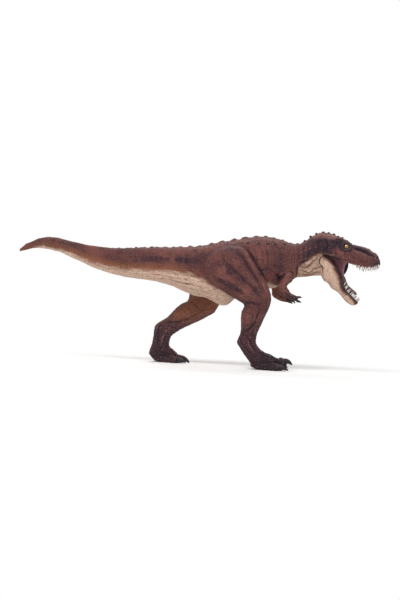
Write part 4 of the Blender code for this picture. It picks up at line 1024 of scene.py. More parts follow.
SHADER_TREE, GEOMETRY_TREE = "ShaderNodeTree", "GeometryNodeTree"
FLOAT, COLOR, VECTOR = "NodeSocketFloat", "NodeSocketColor", "NodeSocketVector"
INT, MATERIAL, GEOMETRY = "NodeSocketInt", "NodeSocketMaterial", "NodeSocketGeometry"


def pebble_group():
    """Cast scales: rounded cells with narrow grooves, coarse and fine."""
    tree, given, out = node_group(
        "cast pebbles", SHADER_TREE,
        (("Vector", VECTOR, None), ("Cells per metre", FLOAT, 700.0), ("Unevenness", FLOAT, 0.5)),
        (("Height", FLOAT), ("Grooves", FLOAT)),
    )
    warp = linked(tree, "ShaderNodeTexNoise", {"Vector": given["Vector"], "Scale": 160.0, "Detail": 2.0})
    scaled = {0: warp.outputs["Color"], "Scale": 0.0012}
    shift = linked(tree, "ShaderNodeVectorMath", scaled, operation="SCALE")
    moved = linked(tree, "ShaderNodeVectorMath", {0: given["Vector"], 1: shift.outputs[0]}, operation="ADD")
    coarse = linked(
        tree, "ShaderNodeTexVoronoi", {"Vector": moved.outputs[0], "Scale": given["Cells per metre"]},
        feature="DISTANCE_TO_EDGE",
    )
    finer = math_of(tree, "MULTIPLY", given["Cells per metre"], 2.3)
    fine = linked(
        tree, "ShaderNodeTexVoronoi", {"Vector": moved.outputs[0], "Scale": finer},
        feature="DISTANCE_TO_EDGE",
    )
    high = range_of(tree, coarse.outputs["Distance"], 0.0, 0.30)
    low = range_of(tree, fine.outputs["Distance"], 0.0, 0.32)
    part = math_of(tree, "MULTIPLY", low, given["Unevenness"])
    height = math_of(tree, "ADD", high, part)
    tree.links.new(height, out["Height"])
    tree.links.new(range_of(tree, height, 0.85, 0.10), out["Grooves"])
    return tree


def wash_group():
    """Dark paint left in hollows and light paint dragged over what stands proud."""
    tree, given, out = node_group(
        "wash and dry brush", SHADER_TREE,
        (
            ("Paint", COLOR, None), ("Wash", COLOR, None), ("Brush", COLOR, None),
            ("Hollow", FLOAT, 0.5), ("Grooves", FLOAT, 0.0), ("Height", FLOAT, 0.5),
            ("Wash amount", FLOAT, 0.6), ("Brush amount", FLOAT, 0.3),
        ),
        (("Colour", COLOR), ("Roughness", FLOAT)),
    )
    deep = range_of(tree, given["Hollow"], 0.52, 0.85)
    grooved = math_of(tree, "MULTIPLY", given["Grooves"], 0.42)
    dark = math_of(tree, "MULTIPLY", math_of(tree, "ADD", deep, grooved, True), given["Wash amount"])
    washed = mix_of(tree, dark, given["Paint"], given["Wash"])
    proud = range_of(tree, given["Hollow"], 0.5, 0.2)
    tops = range_of(tree, given["Height"], 1.0, 1.5)
    edges = math_of(tree, "MULTIPLY", proud, 0.7)
    both = math_of(tree, "ADD", edges, math_of(tree, "MULTIPLY", tops, 0.45), True)
    dragged = math_of(tree, "MULTIPLY", both, given["Brush amount"])
    tree.links.new(mix_of(tree, dragged, washed, given["Brush"]), out["Colour"])
    tree.links.new(range_of(tree, dark, 0.0, 1.0, 0.58, 0.44), out["Roughness"])
    return tree


def speckle_group():
    """Fine spatter of one colour over another."""
    tree, given, out = node_group(
        "spatter", SHADER_TREE,
        (("Vector", VECTOR, None), ("Scale", FLOAT, 500.0), ("Amount", FLOAT, 0.5)), (("Mask", FLOAT),),
    )
    grain = noise_of(tree, given["Vector"], given["Scale"], 3.0, 0.65)
    edge = math_of(tree, "SUBTRACT", 0.72, math_of(tree, "MULTIPLY", given["Amount"], 0.22))
    high = math_of(tree, "ADD", edge, 0.07)
    tree.links.new(range_of(tree, grain, edge, high), out["Mask"])
    return tree


PEBBLES, WASH, SPATTER = pebble_group(), wash_group(), speckle_group()


def material_base(name):
    material = bpy.data.materials.new(name)
    material.use_nodes = True
    tree = material.node_tree
    shader = tree.nodes["Principled BSDF"]
    where = tree.nodes.new("ShaderNodeTexCoord").outputs["Object"]
    return material, tree, shader, where


def use_group(tree, group, inputs):
    return linked(tree, "ShaderNodeGroup", inputs, node_tree=group).outputs


def bumped(tree, shader, height, strength, distance):
    bump = linked(tree, "ShaderNodeBump", {"Height": height, "Strength": strength, "Distance": distance})
    tree.links.new(bump.outputs[0], shader.inputs["Normal"])


def hide_material():
    """Reddish brown over dark purple, a warm edge and a pale belly, washed and dry brushed."""
    material, tree, shader, where = material_base("painted hide")
    pebbles = use_group(tree, PEBBLES, {"Vector": where, "Cells per metre": 820.0})
    wide = noise_of(tree, where, 42.0, 4.0, 0.6)
    patch = noise_of(tree, where, 95.0, 4.0, 0.6)
    close = noise_of(tree, where, 420.0, 4.0, 0.7)
    blotches = range_of(tree, patch, 0.35, 0.66, -0.18, 0.18)
    grains = range_of(tree, close, 0.34, 0.66, -0.15, 0.15)
    dark = math_of(tree, "ADD", math_of(tree, "MULTIPLY", mask_of(tree, "dark"), DARKEST), blotches)
    dark = math_of(tree, "ADD", dark, grains)
    ruddy = mix_of(tree, range_of(tree, wide, 0.38, 0.64), painted("#643B38"), painted("#804E46"))
    brown = mix_of(tree, range_of(tree, dark, 0.0, 0.72), ruddy, painted("#472B30"))
    brown = mix_of(tree, range_of(tree, dark, 0.72, 1.4), brown, painted("#2A1D25"))
    warm_mask = math_of(tree, "MULTIPLY", mask_of(tree, "warm"), range_of(tree, close, 0.3, 0.6, 0.5, 1.0))
    brown = mix_of(tree, warm_mask, brown, painted("#98603F"))
    cream = mix_of(tree, range_of(tree, close, 0.35, 0.65), painted("#E4C8B3"), painted("#CFAB95"))
    cream = mix_of(tree, range_of(tree, wide, 0.42, 0.66, 0.0, 0.5), cream, painted("#DDB4A3"))
    spots = use_group(tree, SPATTER, {"Vector": where, "Scale": 520.0, "Amount": 0.8})["Mask"]
    cream = mix_of(tree, math_of(tree, "MULTIPLY", spots, 0.42), cream, painted("#8C5E48"))
    cream = mix_of(tree, range_of(tree, dark, 0.35, 1.3, 0.0, 0.9), cream, painted("#86614F"))
    belly = mask_of(tree, "belly")
    paint = mix_of(tree, belly, brown, cream)
    wash = mix_of(tree, belly, painted("#1E1318"), painted("#7E5442"))
    tops = mix_of(tree, range_of(tree, dark, 0.55, 1.2), painted("#AC827A"), painted("#8A6F73"))
    brush = mix_of(tree, belly, tops, painted("#F6E7D8"))
    dragged = range_of(tree, patch, 0.40, 0.60, 0.22, 0.50)
    finish = use_group(tree, WASH, {
        "Paint": paint, "Wash": wash, "Brush": brush, "Hollow": mask_of(tree, "hollow"),
        "Grooves": pebbles["Grooves"], "Height": pebbles["Height"],
        "Wash amount": 0.60, "Brush amount": dragged,
    })
    tree.links.new(finish["Colour"], shader.inputs["Base Color"])
    tree.links.new(finish["Roughness"], shader.inputs["Roughness"])
    shader.inputs["Specular IOR Level"].default_value = 0.16
    bumped(tree, shader, pebbles["Height"], 1.0, 0.26 * MM)
    return material


def plain_material(
    name, first, second, wash, rough, cells, bump, scale=160.0, coat=0.0, edge="#8C6468", shine=0.5
):
    """One moulded colour with mottling, a wash in its pores and a fine surface."""
    material, tree, shader, where = material_base(name)
    pebbles = use_group(tree, PEBBLES, {"Vector": where, "Cells per metre": cells})
    patches = range_of(tree, noise_of(tree, where, scale), 0.35, 0.65)
    paint = mix_of(tree, patches, painted(first), painted(second))
    # The edge colour on the belly mask: a painted highlight on the mouth lining's rim, and painted shade on
    # the teeth's sides
    paint = mix_of(tree, mask_of(tree, "belly"), paint, painted(edge))
    finish = use_group(tree, WASH, {
        "Paint": paint, "Wash": painted(wash), "Brush": painted(second), "Hollow": 0.5,
        "Grooves": pebbles["Grooves"], "Height": pebbles["Height"], "Wash amount": 0.5, "Brush amount": 0.2,
    })
    tree.links.new(finish["Colour"], shader.inputs["Base Color"])
    gloss = range_of(tree, noise_of(tree, where, scale * 2), 0.3, 0.7, rough - 0.06, rough + 0.06)
    tree.links.new(gloss, shader.inputs["Roughness"])
    shader.inputs["Specular IOR Level"].default_value = shine
    shader.inputs["Coat Weight"].default_value = coat
    shader.inputs["Coat Roughness"].default_value = 0.12
    bumped(tree, shader, pebbles["Height"], 0.4, bump * MM)
    return material


def eye_material():
    """A painted eye: yellow iris round a dark pupil, with a painted highlight spot, under clear gloss."""
    material, tree, shader, where = material_base("glossy eye")
    ring = mask_of(tree, "ring")
    grain = noise_of(tree, where, 2600.0, 2.0)
    iris = mix_of(tree, range_of(tree, grain, 0.35, 0.65), painted("#8A651A"), painted("#AC8229"))
    iris = mix_of(tree, range_of(tree, ring, 0.30, 0.58), iris, painted("#3A260E"))
    colour = mix_of(tree, range_of(tree, ring, 0.21, 0.15), iris, painted("#0B0806"))
    # Painted highlight: a pale spot on the eye where a glint would be
    colour = mix_of(tree, mask_of(tree, "spark"), colour, painted("#FFEDB4"))
    tree.links.new(colour, shader.inputs["Base Color"])
    tree.links.new(range_of(tree, grain, 0.3, 0.7, 0.18, 0.28), shader.inputs["Roughness"])
    shader.inputs["Coat Weight"].default_value = 1.0
    shader.inputs["Coat Roughness"].default_value = 0.03
    return material


def steel_material():
    material, tree, shader, where = material_base("hinge pin steel")
    grain = noise_of(tree, where, 900.0, 4.0)
    tree.links.new(mix_of(tree, grain, painted("#8C8C8E"), painted("#B4B4B6")), shader.inputs["Base Color"])
    tree.links.new(range_of(tree, grain, 0.3, 0.7, 0.28, 0.42), shader.inputs["Roughness"])
    shader.inputs["Metallic"].default_value = 1.0
    bumped(tree, shader, grain, 0.2, 0.05 * MM)
    return material


# Geometry Nodes

def first_of(tree, kind, inputs=(), **settings):
    return linked(tree, kind, inputs, **settings).outputs[0]


def finish_growth(tree, geometry, given, out):
    """Gives the grown geometry its material and sends it out."""
    tree.links.new(
        first_of(tree, "GeometryNodeSetMaterial", {"Geometry": geometry, "Material": given["Material"]}),
        out["Geometry"],
    )


def horn_tree():
    """Tapered horns along chains of edges, each as thick as the chain's own girth."""
    tree, given, out = node_group(
        "horns", GEOMETRY_TREE,
        (("Geometry", GEOMETRY, None), ("Rings", INT, 8), ("Sides", INT, 10), ("Material", MATERIAL, None)),
        (("Geometry", GEOMETRY),),
    )
    curve = first_of(tree, "GeometryNodeMeshToCurve", {0: given["Geometry"]})
    curve = first_of(tree, "GeometryNodeCurveSplineType", {0: curve}, spline_type="CATMULL_ROM")
    curve = first_of(tree, "GeometryNodeResampleCurve", {"Curve": curve, "Count": given["Rings"]})
    girth = first_of(tree, "GeometryNodeInputNamedAttribute", {"Name": "girth"}, data_type="FLOAT")
    ring = {"Resolution": given["Sides"], "Radius": 1.0}
    circle = first_of(tree, "GeometryNodeCurvePrimitiveCircle", ring)
    sweep = first_of(tree, "GeometryNodeCurveToMesh", {
        "Curve": curve, "Profile Curve": circle, "Fill Caps": True, "Scale": girth,
    })
    smooth = first_of(tree, "GeometryNodeSetShadeSmooth", {"Geometry": sweep})
    real = first_of(tree, "GeometryNodeRealizeInstances", {"Geometry": smooth})
    finish_growth(tree, real, given, out)
    return tree


def knob_tree():
    """Uneven cast knobs on points, each turned to the point's own lean and scaled to its own size."""
    tree, given, out = node_group(
        "knobs", GEOMETRY_TREE,
        (
            ("Geometry", GEOMETRY, None), ("Detail", INT, 3), ("Lumpiness", FLOAT, 0.12), ("Seed", INT, 1),
            ("Material", MATERIAL, None),
        ),
        (("Geometry", GEOMETRY),),
    )
    ball = first_of(tree, "GeometryNodeMeshIcoSphere", {"Radius": 1.0, "Subdivisions": given["Detail"]})
    lean, size = (
        first_of(tree, "GeometryNodeInputNamedAttribute", {"Name": name}, data_type="FLOAT_VECTOR")
        for name in ("lean", "size")
    )
    turn = first_of(tree, "FunctionNodeAlignRotationToVector", {"Vector": lean}, axis="Z")
    placed = {"Points": given["Geometry"], "Instance": ball, "Rotation": turn, "Scale": size}
    spread = first_of(tree, "GeometryNodeInstanceOnPoints", placed)
    real = first_of(tree, "GeometryNodeRealizeInstances", {"Geometry": spread})
    grain = linked(tree, "ShaderNodeTexNoise", {"Scale": 420.0, "W": 0.0}, noise_dimensions="4D")
    tree.links.new(given["Seed"], grain.inputs["W"])
    from_middle = {0: grain.outputs["Color"], 1: (0.5, 0.5, 0.5)}
    centred = first_of(tree, "ShaderNodeVectorMath", from_middle, operation="SUBTRACT")
    amount = math_of(tree, "MULTIPLY", given["Lumpiness"], 0.012)
    push = first_of(tree, "ShaderNodeVectorMath", {0: centred, "Scale": amount}, operation="SCALE")
    lumpy = first_of(tree, "GeometryNodeSetPosition", {"Geometry": real, "Offset": push})
    smooth = first_of(tree, "GeometryNodeSetShadeSmooth", {"Geometry": lumpy})
    finish_growth(tree, smooth, given, out)
    return tree


HORNS, KNOBS = horn_tree(), knob_tree()


def grown(name, tree, mesh, inputs):
    """The plain mesh that a Geometry Nodes tree grows from this one."""
    seedling = bpy.data.objects.new(name, mesh)
    bpy.context.scene.collection.objects.link(seedling)
    modifier = seedling.modifiers.new("grow", "NODES")
    modifier.node_group = tree
    for socket in tree.interface.items_tree:
        if socket.item_type == "SOCKET" and socket.in_out == "INPUT" and socket.name in inputs:
            modifier[socket.identifier] = inputs[socket.name]
    evaluated = seedling.evaluated_get(bpy.context.evaluated_depsgraph_get())
    result = bpy.data.meshes.new_from_object(evaluated)
    bpy.data.objects.remove(seedling)
    for name in [a.name for a in result.attributes if a.name in ("girth", "lean", "size")]:
        result.attributes.remove(result.attributes[name])
    return result


def chains(name, paths):
    """Chains of edges, one for each list of (point in mm, girth in mm)."""
    points, edges, girths = [], [], []
    for path in paths:
        edges += [(len(points) + i, len(points) + i + 1) for i in range(len(path) - 1)]
        points += [Vector(p) * MM for p, _ in path]
        girths += [g * MM for _, g in path]
    mesh = bpy.data.meshes.new(name)
    mesh.from_pydata(points, edges, [])
    mesh.attributes.new("girth", "FLOAT", "POINT").data.foreach_set("value", girths)
    return mesh


def horns(name, paths, rings, sides, material):
    """Horns along the given paths, each with that many rings and sides."""
    settings = {"Rings": rings, "Sides": sides, "Material": material}
    return grown(name, HORNS, chains(name, paths), settings)


def dots(name, places):
    """Points with a lean and a size, one for each (point, lean, size) in mm."""
    mesh = bpy.data.meshes.new(name)
    mesh.from_pydata([Vector(p) * MM for p, _, _ in places], [], [])
    for k, attribute in ((1, "lean"), (2, "size")):
        values = np.array([place[k] for place in places], np.float32) * (MM if k == 2 else 1)
        mesh.attributes.new(attribute, "FLOAT_VECTOR", "POINT").data.foreach_set("vector", values.ravel())
    return mesh


# The hinge of the jaw and its own frame
HINGE = np.array((117.7, 0.0, 104.3))
GAPE = math.radians(48.6)
JAW_ALONG = np.array((math.cos(GAPE), 0, -math.sin(GAPE)))
JAW_UP = np.array((math.sin(GAPE), 0, math.cos(GAPE)))
JAW_LIP = (
    (119.3, 109.9), (123.2, 107.9), (127.2, 103.4), (130.2, 98.9), (133.4, 92.9), (135.1, 88.2),
    (135.6, 84.5), (136.5, 81.5), (137.9, 78.8), (140.1, 76.3), (143.3, 73.8), (146.2, 70.9),
    (148.5, 68.9), (150.7, 67.1),
)
JAW_FOLDS = {
    "rim": (((122, 106.5), (128.5, 98.5), (132.6, 90.5), (134.6, 82.5), (139, 75.4),
        (145.4, 69.8)), 1.5, 0.45),
    "under rim": (((119, 104.5), (125.6, 96.0), (129.6, 88.0), (132.2, 80.4), (137.2, 72.8),
        (144, 67.6)), 1.2, -0.45),
    "rear line": (((116.2, 106.0), (115.0, 99.0), (116.4, 93.0)), 1.2, -0.5),
    "chin line 1": (((119.5, 98.0), (120.8, 91.0), (123.6, 86.0)), 1.0, -0.35),
    "chin line 2": (((123.6, 92.0), (126.0, 86.0), (129.6, 80.6)), 0.9, -0.3),
}

# The dark rim of the jaw, from its corner to its tip: share of the way, and width in millimetres or darkness
RIM_BAND = ((0, 4.1), (0.35, 4.4), (0.7, 2.5), (1.0, 1.9))
RIM_DARKNESS = ((0, 0.75), (0.3, 0.95), (0.6, 1.2), (1.0, 1.3))
# Half the distance between the blind ends of the pin's bores
BORE_END = 10.35


def sculpt_jaw(material):
    """The pale lower jaw, with a rolled dark rim that blackens to its tip."""
    jaw = voxel_hide(("lower_jaw",), JAW_STEP, 0.0)
    jaw.even_out(16)
    normals = jaw.normals()
    amount = jaw.start_strokes()
    outside = np.clip(np.abs(normals[:, 1]) * 1.7, 0, 1) * (normals[:, 1] * jaw.co[:, 1] > 0)
    jaw.press(JAW_FOLDS.values(), outside, amount)
    skin = 0.10 * (pebbles_at(jaw.co, 1.7 * MM) - 0.5) + 0.16 * noise_at(jaw.co, 150, 21)
    amount += skin * outside * MM
    jaw.co += normals * amount[:, None]
    x, y, z = jaw.co.T / MM
    corner = spot(x, z, (118.0, 86.6), 3.6)
    under = spot(x, z, (126.5, 79.8), 5.0)
    jaw.co[:, 0] -= (0.9 * corner + 1.1 * under) * MM
    jaw.co[:, 2] -= (1.1 * corner + 1.3 * under) * MM
    x, y, z = jaw.co.T / MM
    blind = (np.hypot(x - HINGE[0], z - HINGE[2]) < 2.0) & (np.abs(y) > 9.3) & (np.abs(y) < BORE_END)
    jaw.co[blind, 1] = np.sign(y[blind]) * BORE_END * MM
    lip = curved(JAW_LIP)
    away = np.full(len(x), FAR)
    share = np.zeros(len(x))
    for i, (a, b) in enumerate(zip(lip, lip[1:])):
        t = np.clip(((np.stack([x, z], 1) - a) @ (b - a)) / ((b - a) @ (b - a)), 0, 1)
        gap = np.hypot(x - a[0] - t * (b - a)[0], z - a[1] - t * (b - a)[1])
        share[gap < away] = i / len(lip)
        away = np.minimum(away, gap)
    ragged = 1.1 * noise_at(jaw.co, 260, 22) + 0.7 * noise_at(jaw.co, 800, 23)
    band = on_line(RIM_BAND, share)
    inside = eased(0.1, -0.3, normals[:, 1] * np.sign(y))
    tip = eased(145.4, 148.4, x) * eased(63.6, 65.9, z)
    dark = 0.2 + on_line(RIM_DARKNESS, share) * eased(band + 1.0, band - 2.0, away + 0.8 * ragged)
    dark = dark + 0.9 * tip + 0.2 * jaw.masks["crease"]
    belly = np.clip(1 - eased(band + 2.6, band - 1.2, away + ragged) - tip - inside, 0, 1)
    jaw.masks.update(
        belly=belly, dark=np.clip(dark + 0.8 * inside, 0, DARKEST) / DARKEST,
        warm=np.clip(bell(away - band - 1.2, 1.9) * 0.55, 0, 1),
        hollow=np.clip(jaw.hollowness(normals, 5, 0.26 * MM), 0, 1),
    )
    piece("lower_jaw_hide", whole_mesh("lower_jaw_hide", jaw), material, "jaw", "cream_skin", "lower_jaw")


# Outlines seen from the side, in millimetres: what is behind the hinge and inside the cheeks, as dark pieces
# of painted shade
THROAT_SHADOW = (
    (110.0, 97.4), (111.6, 97.4), (113.0, 96.4), (114.5, 95.7), (116.0, 95.3), (117.7, 95.1),
    (120.0, 95.4), (122.0, 96.2), (124.0, 97.6), (125.6, 99.6), (126.6, 103.0), (128.6, 108.6),
    (131.0, 110.2), (131.0, 113.5), (124.0, 113.8), (112.0, 113.0), (110.0, 108.0),
)
CHEEK_SHADOW = (
    (128.0, 92.0), (135.4, 92.0), (136.8, 93.2), (138.3, 95.8), (139.2, 98.8), (139.6, 101.6),
    (139.5, 104.4), (127.0, 104.6),
)
CORE_HALF = 4.3
CHEEK_INNER, CHEEK_OUTER = 4.5, 5.75


def slab(name, outline, low, high, body, material):
    """A dark flat piece of painted shade between two widths, with rounded edges."""
    bm = bmesh.new()
    verts = [bm.verts.new(Vector((x, low, z)) * MM) for x, z in outline]
    face = bm.faces.new(verts)
    face.normal_update()
    grown_out = bmesh.ops.extrude_face_region(bm, geom=[face])["geom"]
    moved = [v for v in grown_out if isinstance(v, bmesh.types.BMVert)]
    bmesh.ops.translate(bm, verts=moved, vec=Vector((0, (high - low) * MM, 0)))
    bmesh.ops.recalc_face_normals(bm, faces=bm.faces)
    bmesh.ops.bevel(bm, geom=list(bm.edges), offset=0.3 * MM, segments=2, affect="EDGES")
    bmesh.ops.triangulate(bm, faces=[f for f in bm.faces if len(f.verts) > 4])
    mesh = bpy.data.meshes.new(name)
    bm.to_mesh(mesh)
    bm.free()
    piece(name, mesh, material, body, "mouth_pink")


def soft_part(name, node, body, slot, material, rounds, shape):
    """A soft inner part of the mouth: its solid, smoothed, then shaped, with a painted highlight on the
    lining's front rim.
    """
    part = voxel_hide((node,), MOUTH_STEP, 0.0)
    part.even_out(rounds)
    normals = part.normals()
    part.co += normals * shape(part, normals)[:, None] * MM
    hollow = np.clip(part.hollowness(normals, 4, 0.08 * MM), 0, 1)
    zero = np.zeros(len(part.co))
    x, z = part.co[:, 0] / MM, part.co[:, 2] / MM
    # Painted highlight: the front rim of the mouth lining is painted a lighter pink
    rim = eased(133.0, 135.5, x) * eased(87, 90, z) * (node == "mouth_lining")
    part.masks = {"belly": rim, "warm": zero, "dark": zero, "hollow": hollow}
    piece(name, whole_mesh(name, part), material, body, slot, node)


def tongue_shape(part, normals):
    y = part.co[:, 1] / MM
    groove = -0.5 * bell(y, 0.8) * eased(0.2, 0.7, normals @ JAW_UP)
    return groove + 0.10 * (pebbles_at(part.co, 0.9 * MM) - 0.5)


def lining_shape(part, normals):
    x, z = part.co[:, 0] / MM, part.co[:, 2] / MM
    forward = 1.2 * eased(129, 135, x) * eased(86, 92, z) * np.clip(normals[:, 0], 0, 1)
    return 0.2 * noise_at(part.co, (120, 500, 300), 31) + forward


def palate_shape(part, normals):
    x = part.co[:, 0] / MM
    return 0.25 * np.sin(x * 2 * math.pi / 2.6) * eased(-0.2, -0.7, normals[:, 2])


def tooth_path(root, out, down, length, girth):
    """A tooth: its root, a slightly bowed middle and its tip."""
    root, out, down = (np.array(v, float) for v in (root, out, down))
    middle = root + down * length * 0.5 + out * length * 0.10
    tip = root + down * length - out * length * 0.08
    return [(root - down * 1.0, girth * 0.9), (root, girth), (middle, girth * 0.72), (tip, girth * 0.12)]


def shade_tooth_sides(mesh, along):
    """Marks the sides that a tooth turns to its neighbours, for the painted shade between teeth."""
    turned = [min(1.0, max(0.0, (abs(v.normal.dot(Vector(along))) - 0.45) / 0.4)) for v in mesh.vertices]
    mesh.attributes.new("belly", "FLOAT", "POINT").data.foreach_set("value", turned)


def strip_width(node, places, along):
    """Half the width of a tooth strip at places along a direction, read from its solid."""
    co = np.array([v.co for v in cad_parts[node].data.vertices]) / MM
    at = (co - HINGE) @ along
    return [np.abs(co[np.abs(at - place) < 1.6, 1]).max() for place in places]


# Teeth: sizes that repeat along a row, the upper lip's edge, and where the upper teeth stand
TOOTH_SIZES = (1.0, 0.72, 1.12, 0.64, 0.94, 0.78, 1.08, 0.68, 0.9)
UPPER_LIP = (
    (141.0, 103.2), (143.3, 102.8), (149.0, 101.1), (154.8, 99.9), (160.4, 100.2), (165.1, 101.0),
    (168.8, 102.0), (170.3, 102.9),
)
FIRST_TOOTH, LAST_TOOTH, TOOTH_GAP = 144.4, 168.0, 1.92
UPPER_LENGTHS = ((144, 0.35), (148, 0.6), (152, 1.0), (164, 1.0), (169, 0.72))
SNOUT_TEETH, SNOUT_TIP = (-3.6, -1.2, 1.2, 3.6), (168.3, 102.7)
# The lower teeth, measured along the jaw from its hinge
LOWER_FIRST, LOWER_LAST, LOWER_GAP = 28.6, 48.4, 2.05
CHIN_TEETH, CHIN_TIP = (-2.2, 0.0, 2.2), 48.6


def lip_width(hide, x):
    """Half the width of the upper lip at X, from the finished hide."""
    co = hide.co / MM
    near = (np.abs(co[:, 0] - x) < 0.8) & (np.abs(co[:, 2] - on_line(UPPER_LIP, x) - 1.5) < 1.5)
    return np.abs(co[near, 1]).max() if near.any() else 1.5


def make_teeth(hide, material, gum):
    """Rows of uneven teeth that stand in the gums of both jaws."""
    rows = upper_teeth(hide)
    mesh = horns("upper teeth", rows, 6, 8, material)
    shade_tooth_sides(mesh, (1, 0, 0))
    piece("upper_tooth_row", mesh, material, "body", "tooth_white", "upper_teeth")
    rows = lower_teeth()
    mesh = horns("lower teeth", rows, 6, 8, material)
    shade_tooth_sides(mesh, JAW_ALONG)
    piece("lower_tooth_row", mesh, material, "jaw", "tooth_white", "lower_teeth")
    for name, node, body in (("upper_gum", "upper_teeth", "body"), ("lower_gum", "lower_teeth", "jaw")):
        make_gum(name, node, body, gum)


def upper_teeth(hide):
    """Paths of the teeth along both sides of the upper lip and of the small ones at the tip of the snout."""
    rows = []
    for i, x in enumerate(np.arange(FIRST_TOOTH, LAST_TOOTH, TOOTH_GAP)):
        size = TOOTH_SIZES[i % len(TOOTH_SIZES)] * on_line(UPPER_LENGTHS, x)
        z = on_line(UPPER_LIP, x)
        across = max(lip_width(hide, x) - 1.25, 0.9)
        for side in (-1, 1):
            twist = 0.16 * math.sin(3.7 * i + side)
            root = (x + 0.3 * math.sin(2.3 * i + 2 * side), side * across, z + 0.9)
            down = (-0.08 + twist, side * 0.05, -1)
            rows.append(tooth_path(root, (0, side, 0), down, 5.0 * size, 0.68 + 0.1 * size))
    tip_x, tip_z = SNOUT_TIP
    for k, y in enumerate(SNOUT_TEETH):
        down = (-0.1 + 0.06 * math.sin(3.1 * k), 0.03 * y, -1)
        root = (tip_x - 0.05 * y * y, y, tip_z)
        rows.append(tooth_path(root, (1, 0, 0), down, 3.5 + 0.4 * math.sin(2.2 * k), 0.72))
    return rows


def lip_of_jaw(along):
    """The height of the lower lip over the jaw's own axis, some way from the hinge."""
    edge = np.array(JAW_LIP) - HINGE[::2]
    return np.interp(along, edge @ JAW_ALONG[::2], edge @ JAW_UP[::2])


def lower_teeth():
    """Paths of the teeth along both sides of the jaw and of the three at its tip."""
    rows = []
    places = np.arange(LOWER_FIRST, LOWER_LAST, LOWER_GAP)
    for i, (along, width) in enumerate(zip(places, strip_width("lower_teeth", places, JAW_ALONG))):
        size = TOOTH_SIZES[(2 * i + 2) % len(TOOTH_SIZES)]
        up = lip_of_jaw(along)
        for side in (-1, 1):
            lean = 0.22 * math.sin(2.9 * i + 1.3 * side) - 0.06
            root = HINGE + JAW_ALONG * along + JAW_UP * (up - 0.5) + (0, side * (width - 0.9), 0)
            upward = JAW_UP + lean * JAW_ALONG
            rows.append(tooth_path(root, (0, side, 0), upward, 3.2 + 1.5 * size, 0.62 + 0.16 * size))
    for y in CHIN_TEETH:
        root = HINGE + JAW_ALONG * (CHIN_TIP - 0.1 * y * y) + JAW_UP * 0.2 + (0, y, 0)
        rows.append(tooth_path(root, JAW_ALONG, JAW_UP, 3.4, 0.66))
    return rows


def make_gum(name, node, body, material):
    """The strip that the teeth stand in, from its solid without the plain teeth."""
    part = voxel_hide((node,), GUM_STEP, 0.0)
    part.even_out(10)
    if body == "body":
        floor = on_line(UPPER_LIP, part.co[:, 0] / MM) + 0.1
        part.co[:, 2] = np.maximum(part.co[:, 2], floor * MM)
    else:
        along = (part.co / MM - HINGE) @ JAW_ALONG
        up = (part.co / MM - HINGE) @ JAW_UP
        part.co += np.outer(np.minimum(lip_of_jaw(along) - 0.3 - up, 0), JAW_UP) * MM
    normals = part.normals()
    part.co += normals * (0.14 * noise_at(part.co, 700, 41) * MM)[:, None]
    zero = np.zeros(len(part.co))
    part.masks = {"belly": zero, "warm": zero, "dark": zero, "hollow": zero + 0.5}
    piece(name, whole_mesh(name, part), material, body, "mouth_pink")


# Claws as (share of the toe's length, share of its height, girth in millimetres)
MIDDLE_CLAWS = {
    "right_leg": (
        (0.82, 0.60, 1.9), (0.95, 0.73, 2.5), (1.07, 0.80, 2.6), (1.18, 0.76, 2.1), (1.27, 0.64, 1.35),
        (1.335, 0.50, 0.45),
    ),
    "left_leg": (
        (0.80, 0.46, 1.7), (0.92, 0.46, 2.2), (1.04, 0.40, 2.3), (1.15, 0.28, 1.9), (1.24, 0.15, 1.2),
        (1.29, 0.05, 0.4),
    ),
}
SIDE_CLAW = ((0.86, 0.38, 1.6), (1.0, 0.38, 2.1), (1.15, 0.34, 2.0), (1.32, 0.26, 1.5), (1.46, 0.14, 0.5))
# How much the near foot's inner claw rises towards its tip, from this share of the toe's length
INNER_CLAW_RISE, INNER_CLAW_START = 5.5, 0.86
# Finger claws as (X, Z) in millimetres, from root to tip, with their girths and the hand's place across
HAND_CLAWS = {
    "right": (
        ((92.0, 68.8), (93.6, 69.3), (95.3, 69.5), (97.0, 69.0)),
        ((92.2, 65.8), (93.8, 65.4), (95.3, 65.1), (96.7, 64.4)),
    ),
    "left": (
        ((86.8, 65.6), (88.6, 65.2), (90.5, 64.2), (92.3, 62.4)),
        ((85.2, 63.9), (86.8, 63.6), (88.4, 63.0), (90.0, 62.0)),
    ),
}
FINGER_GIRTHS = (1.15, 1.2, 0.95, 0.3)
HAND_MIDDLE, FINGER_APART = 14.6, 1.9


def make_claws(material):
    """Three long claws on each foot and two on each hand."""
    for leg in TOE_ROOTS:
        paths = []
        for owner, i, knuckle, heading, length, height in toes():
            if owner != leg:
                continue
            rise = INNER_CLAW_RISE if leg == "right_leg" and i == 0 else 0.0
            path = []
            for along, up, girth in MIDDLE_CLAWS[leg] if i == MIDDLE_TOE else SIDE_CLAW:
                z = height * up + rise * (along - INNER_CLAW_START)
                path.append((knuckle + heading * length * along + (0, 0, z), girth))
            paths.append(path)
        mesh = horns("foot claws", paths, 14, 14, material)
        keep_in_box(mesh)
        piece(f"{leg.split('_')[0]}_foot_claws", mesh, material, "body", "brown_skin")
    for side_name, side in (("right", -1), ("left", 1)):
        paths = []
        for finger, run in zip((-1, 1), HAND_CLAWS[side_name]):
            y = side * HAND_MIDDLE + finger * FINGER_APART
            paths.append([((x, y, z), girth) for (x, z), girth in zip(run, FINGER_GIRTHS)])
        mesh = horns("hand claws", paths, 9, 10, material)
        piece(f"{side_name}_hand_claws", mesh, material, "body", "brown_skin")


def keep_in_box(mesh):
    """Holds a mesh inside the solids' own box, so that soles and claws rest on the ground."""
    co = np.empty(len(mesh.vertices) * 3)
    mesh.vertices.foreach_get("co", co)
    mesh.vertices.foreach_set("co", np.clip(co.reshape(-1, 3), *CAD_BOX).ravel())


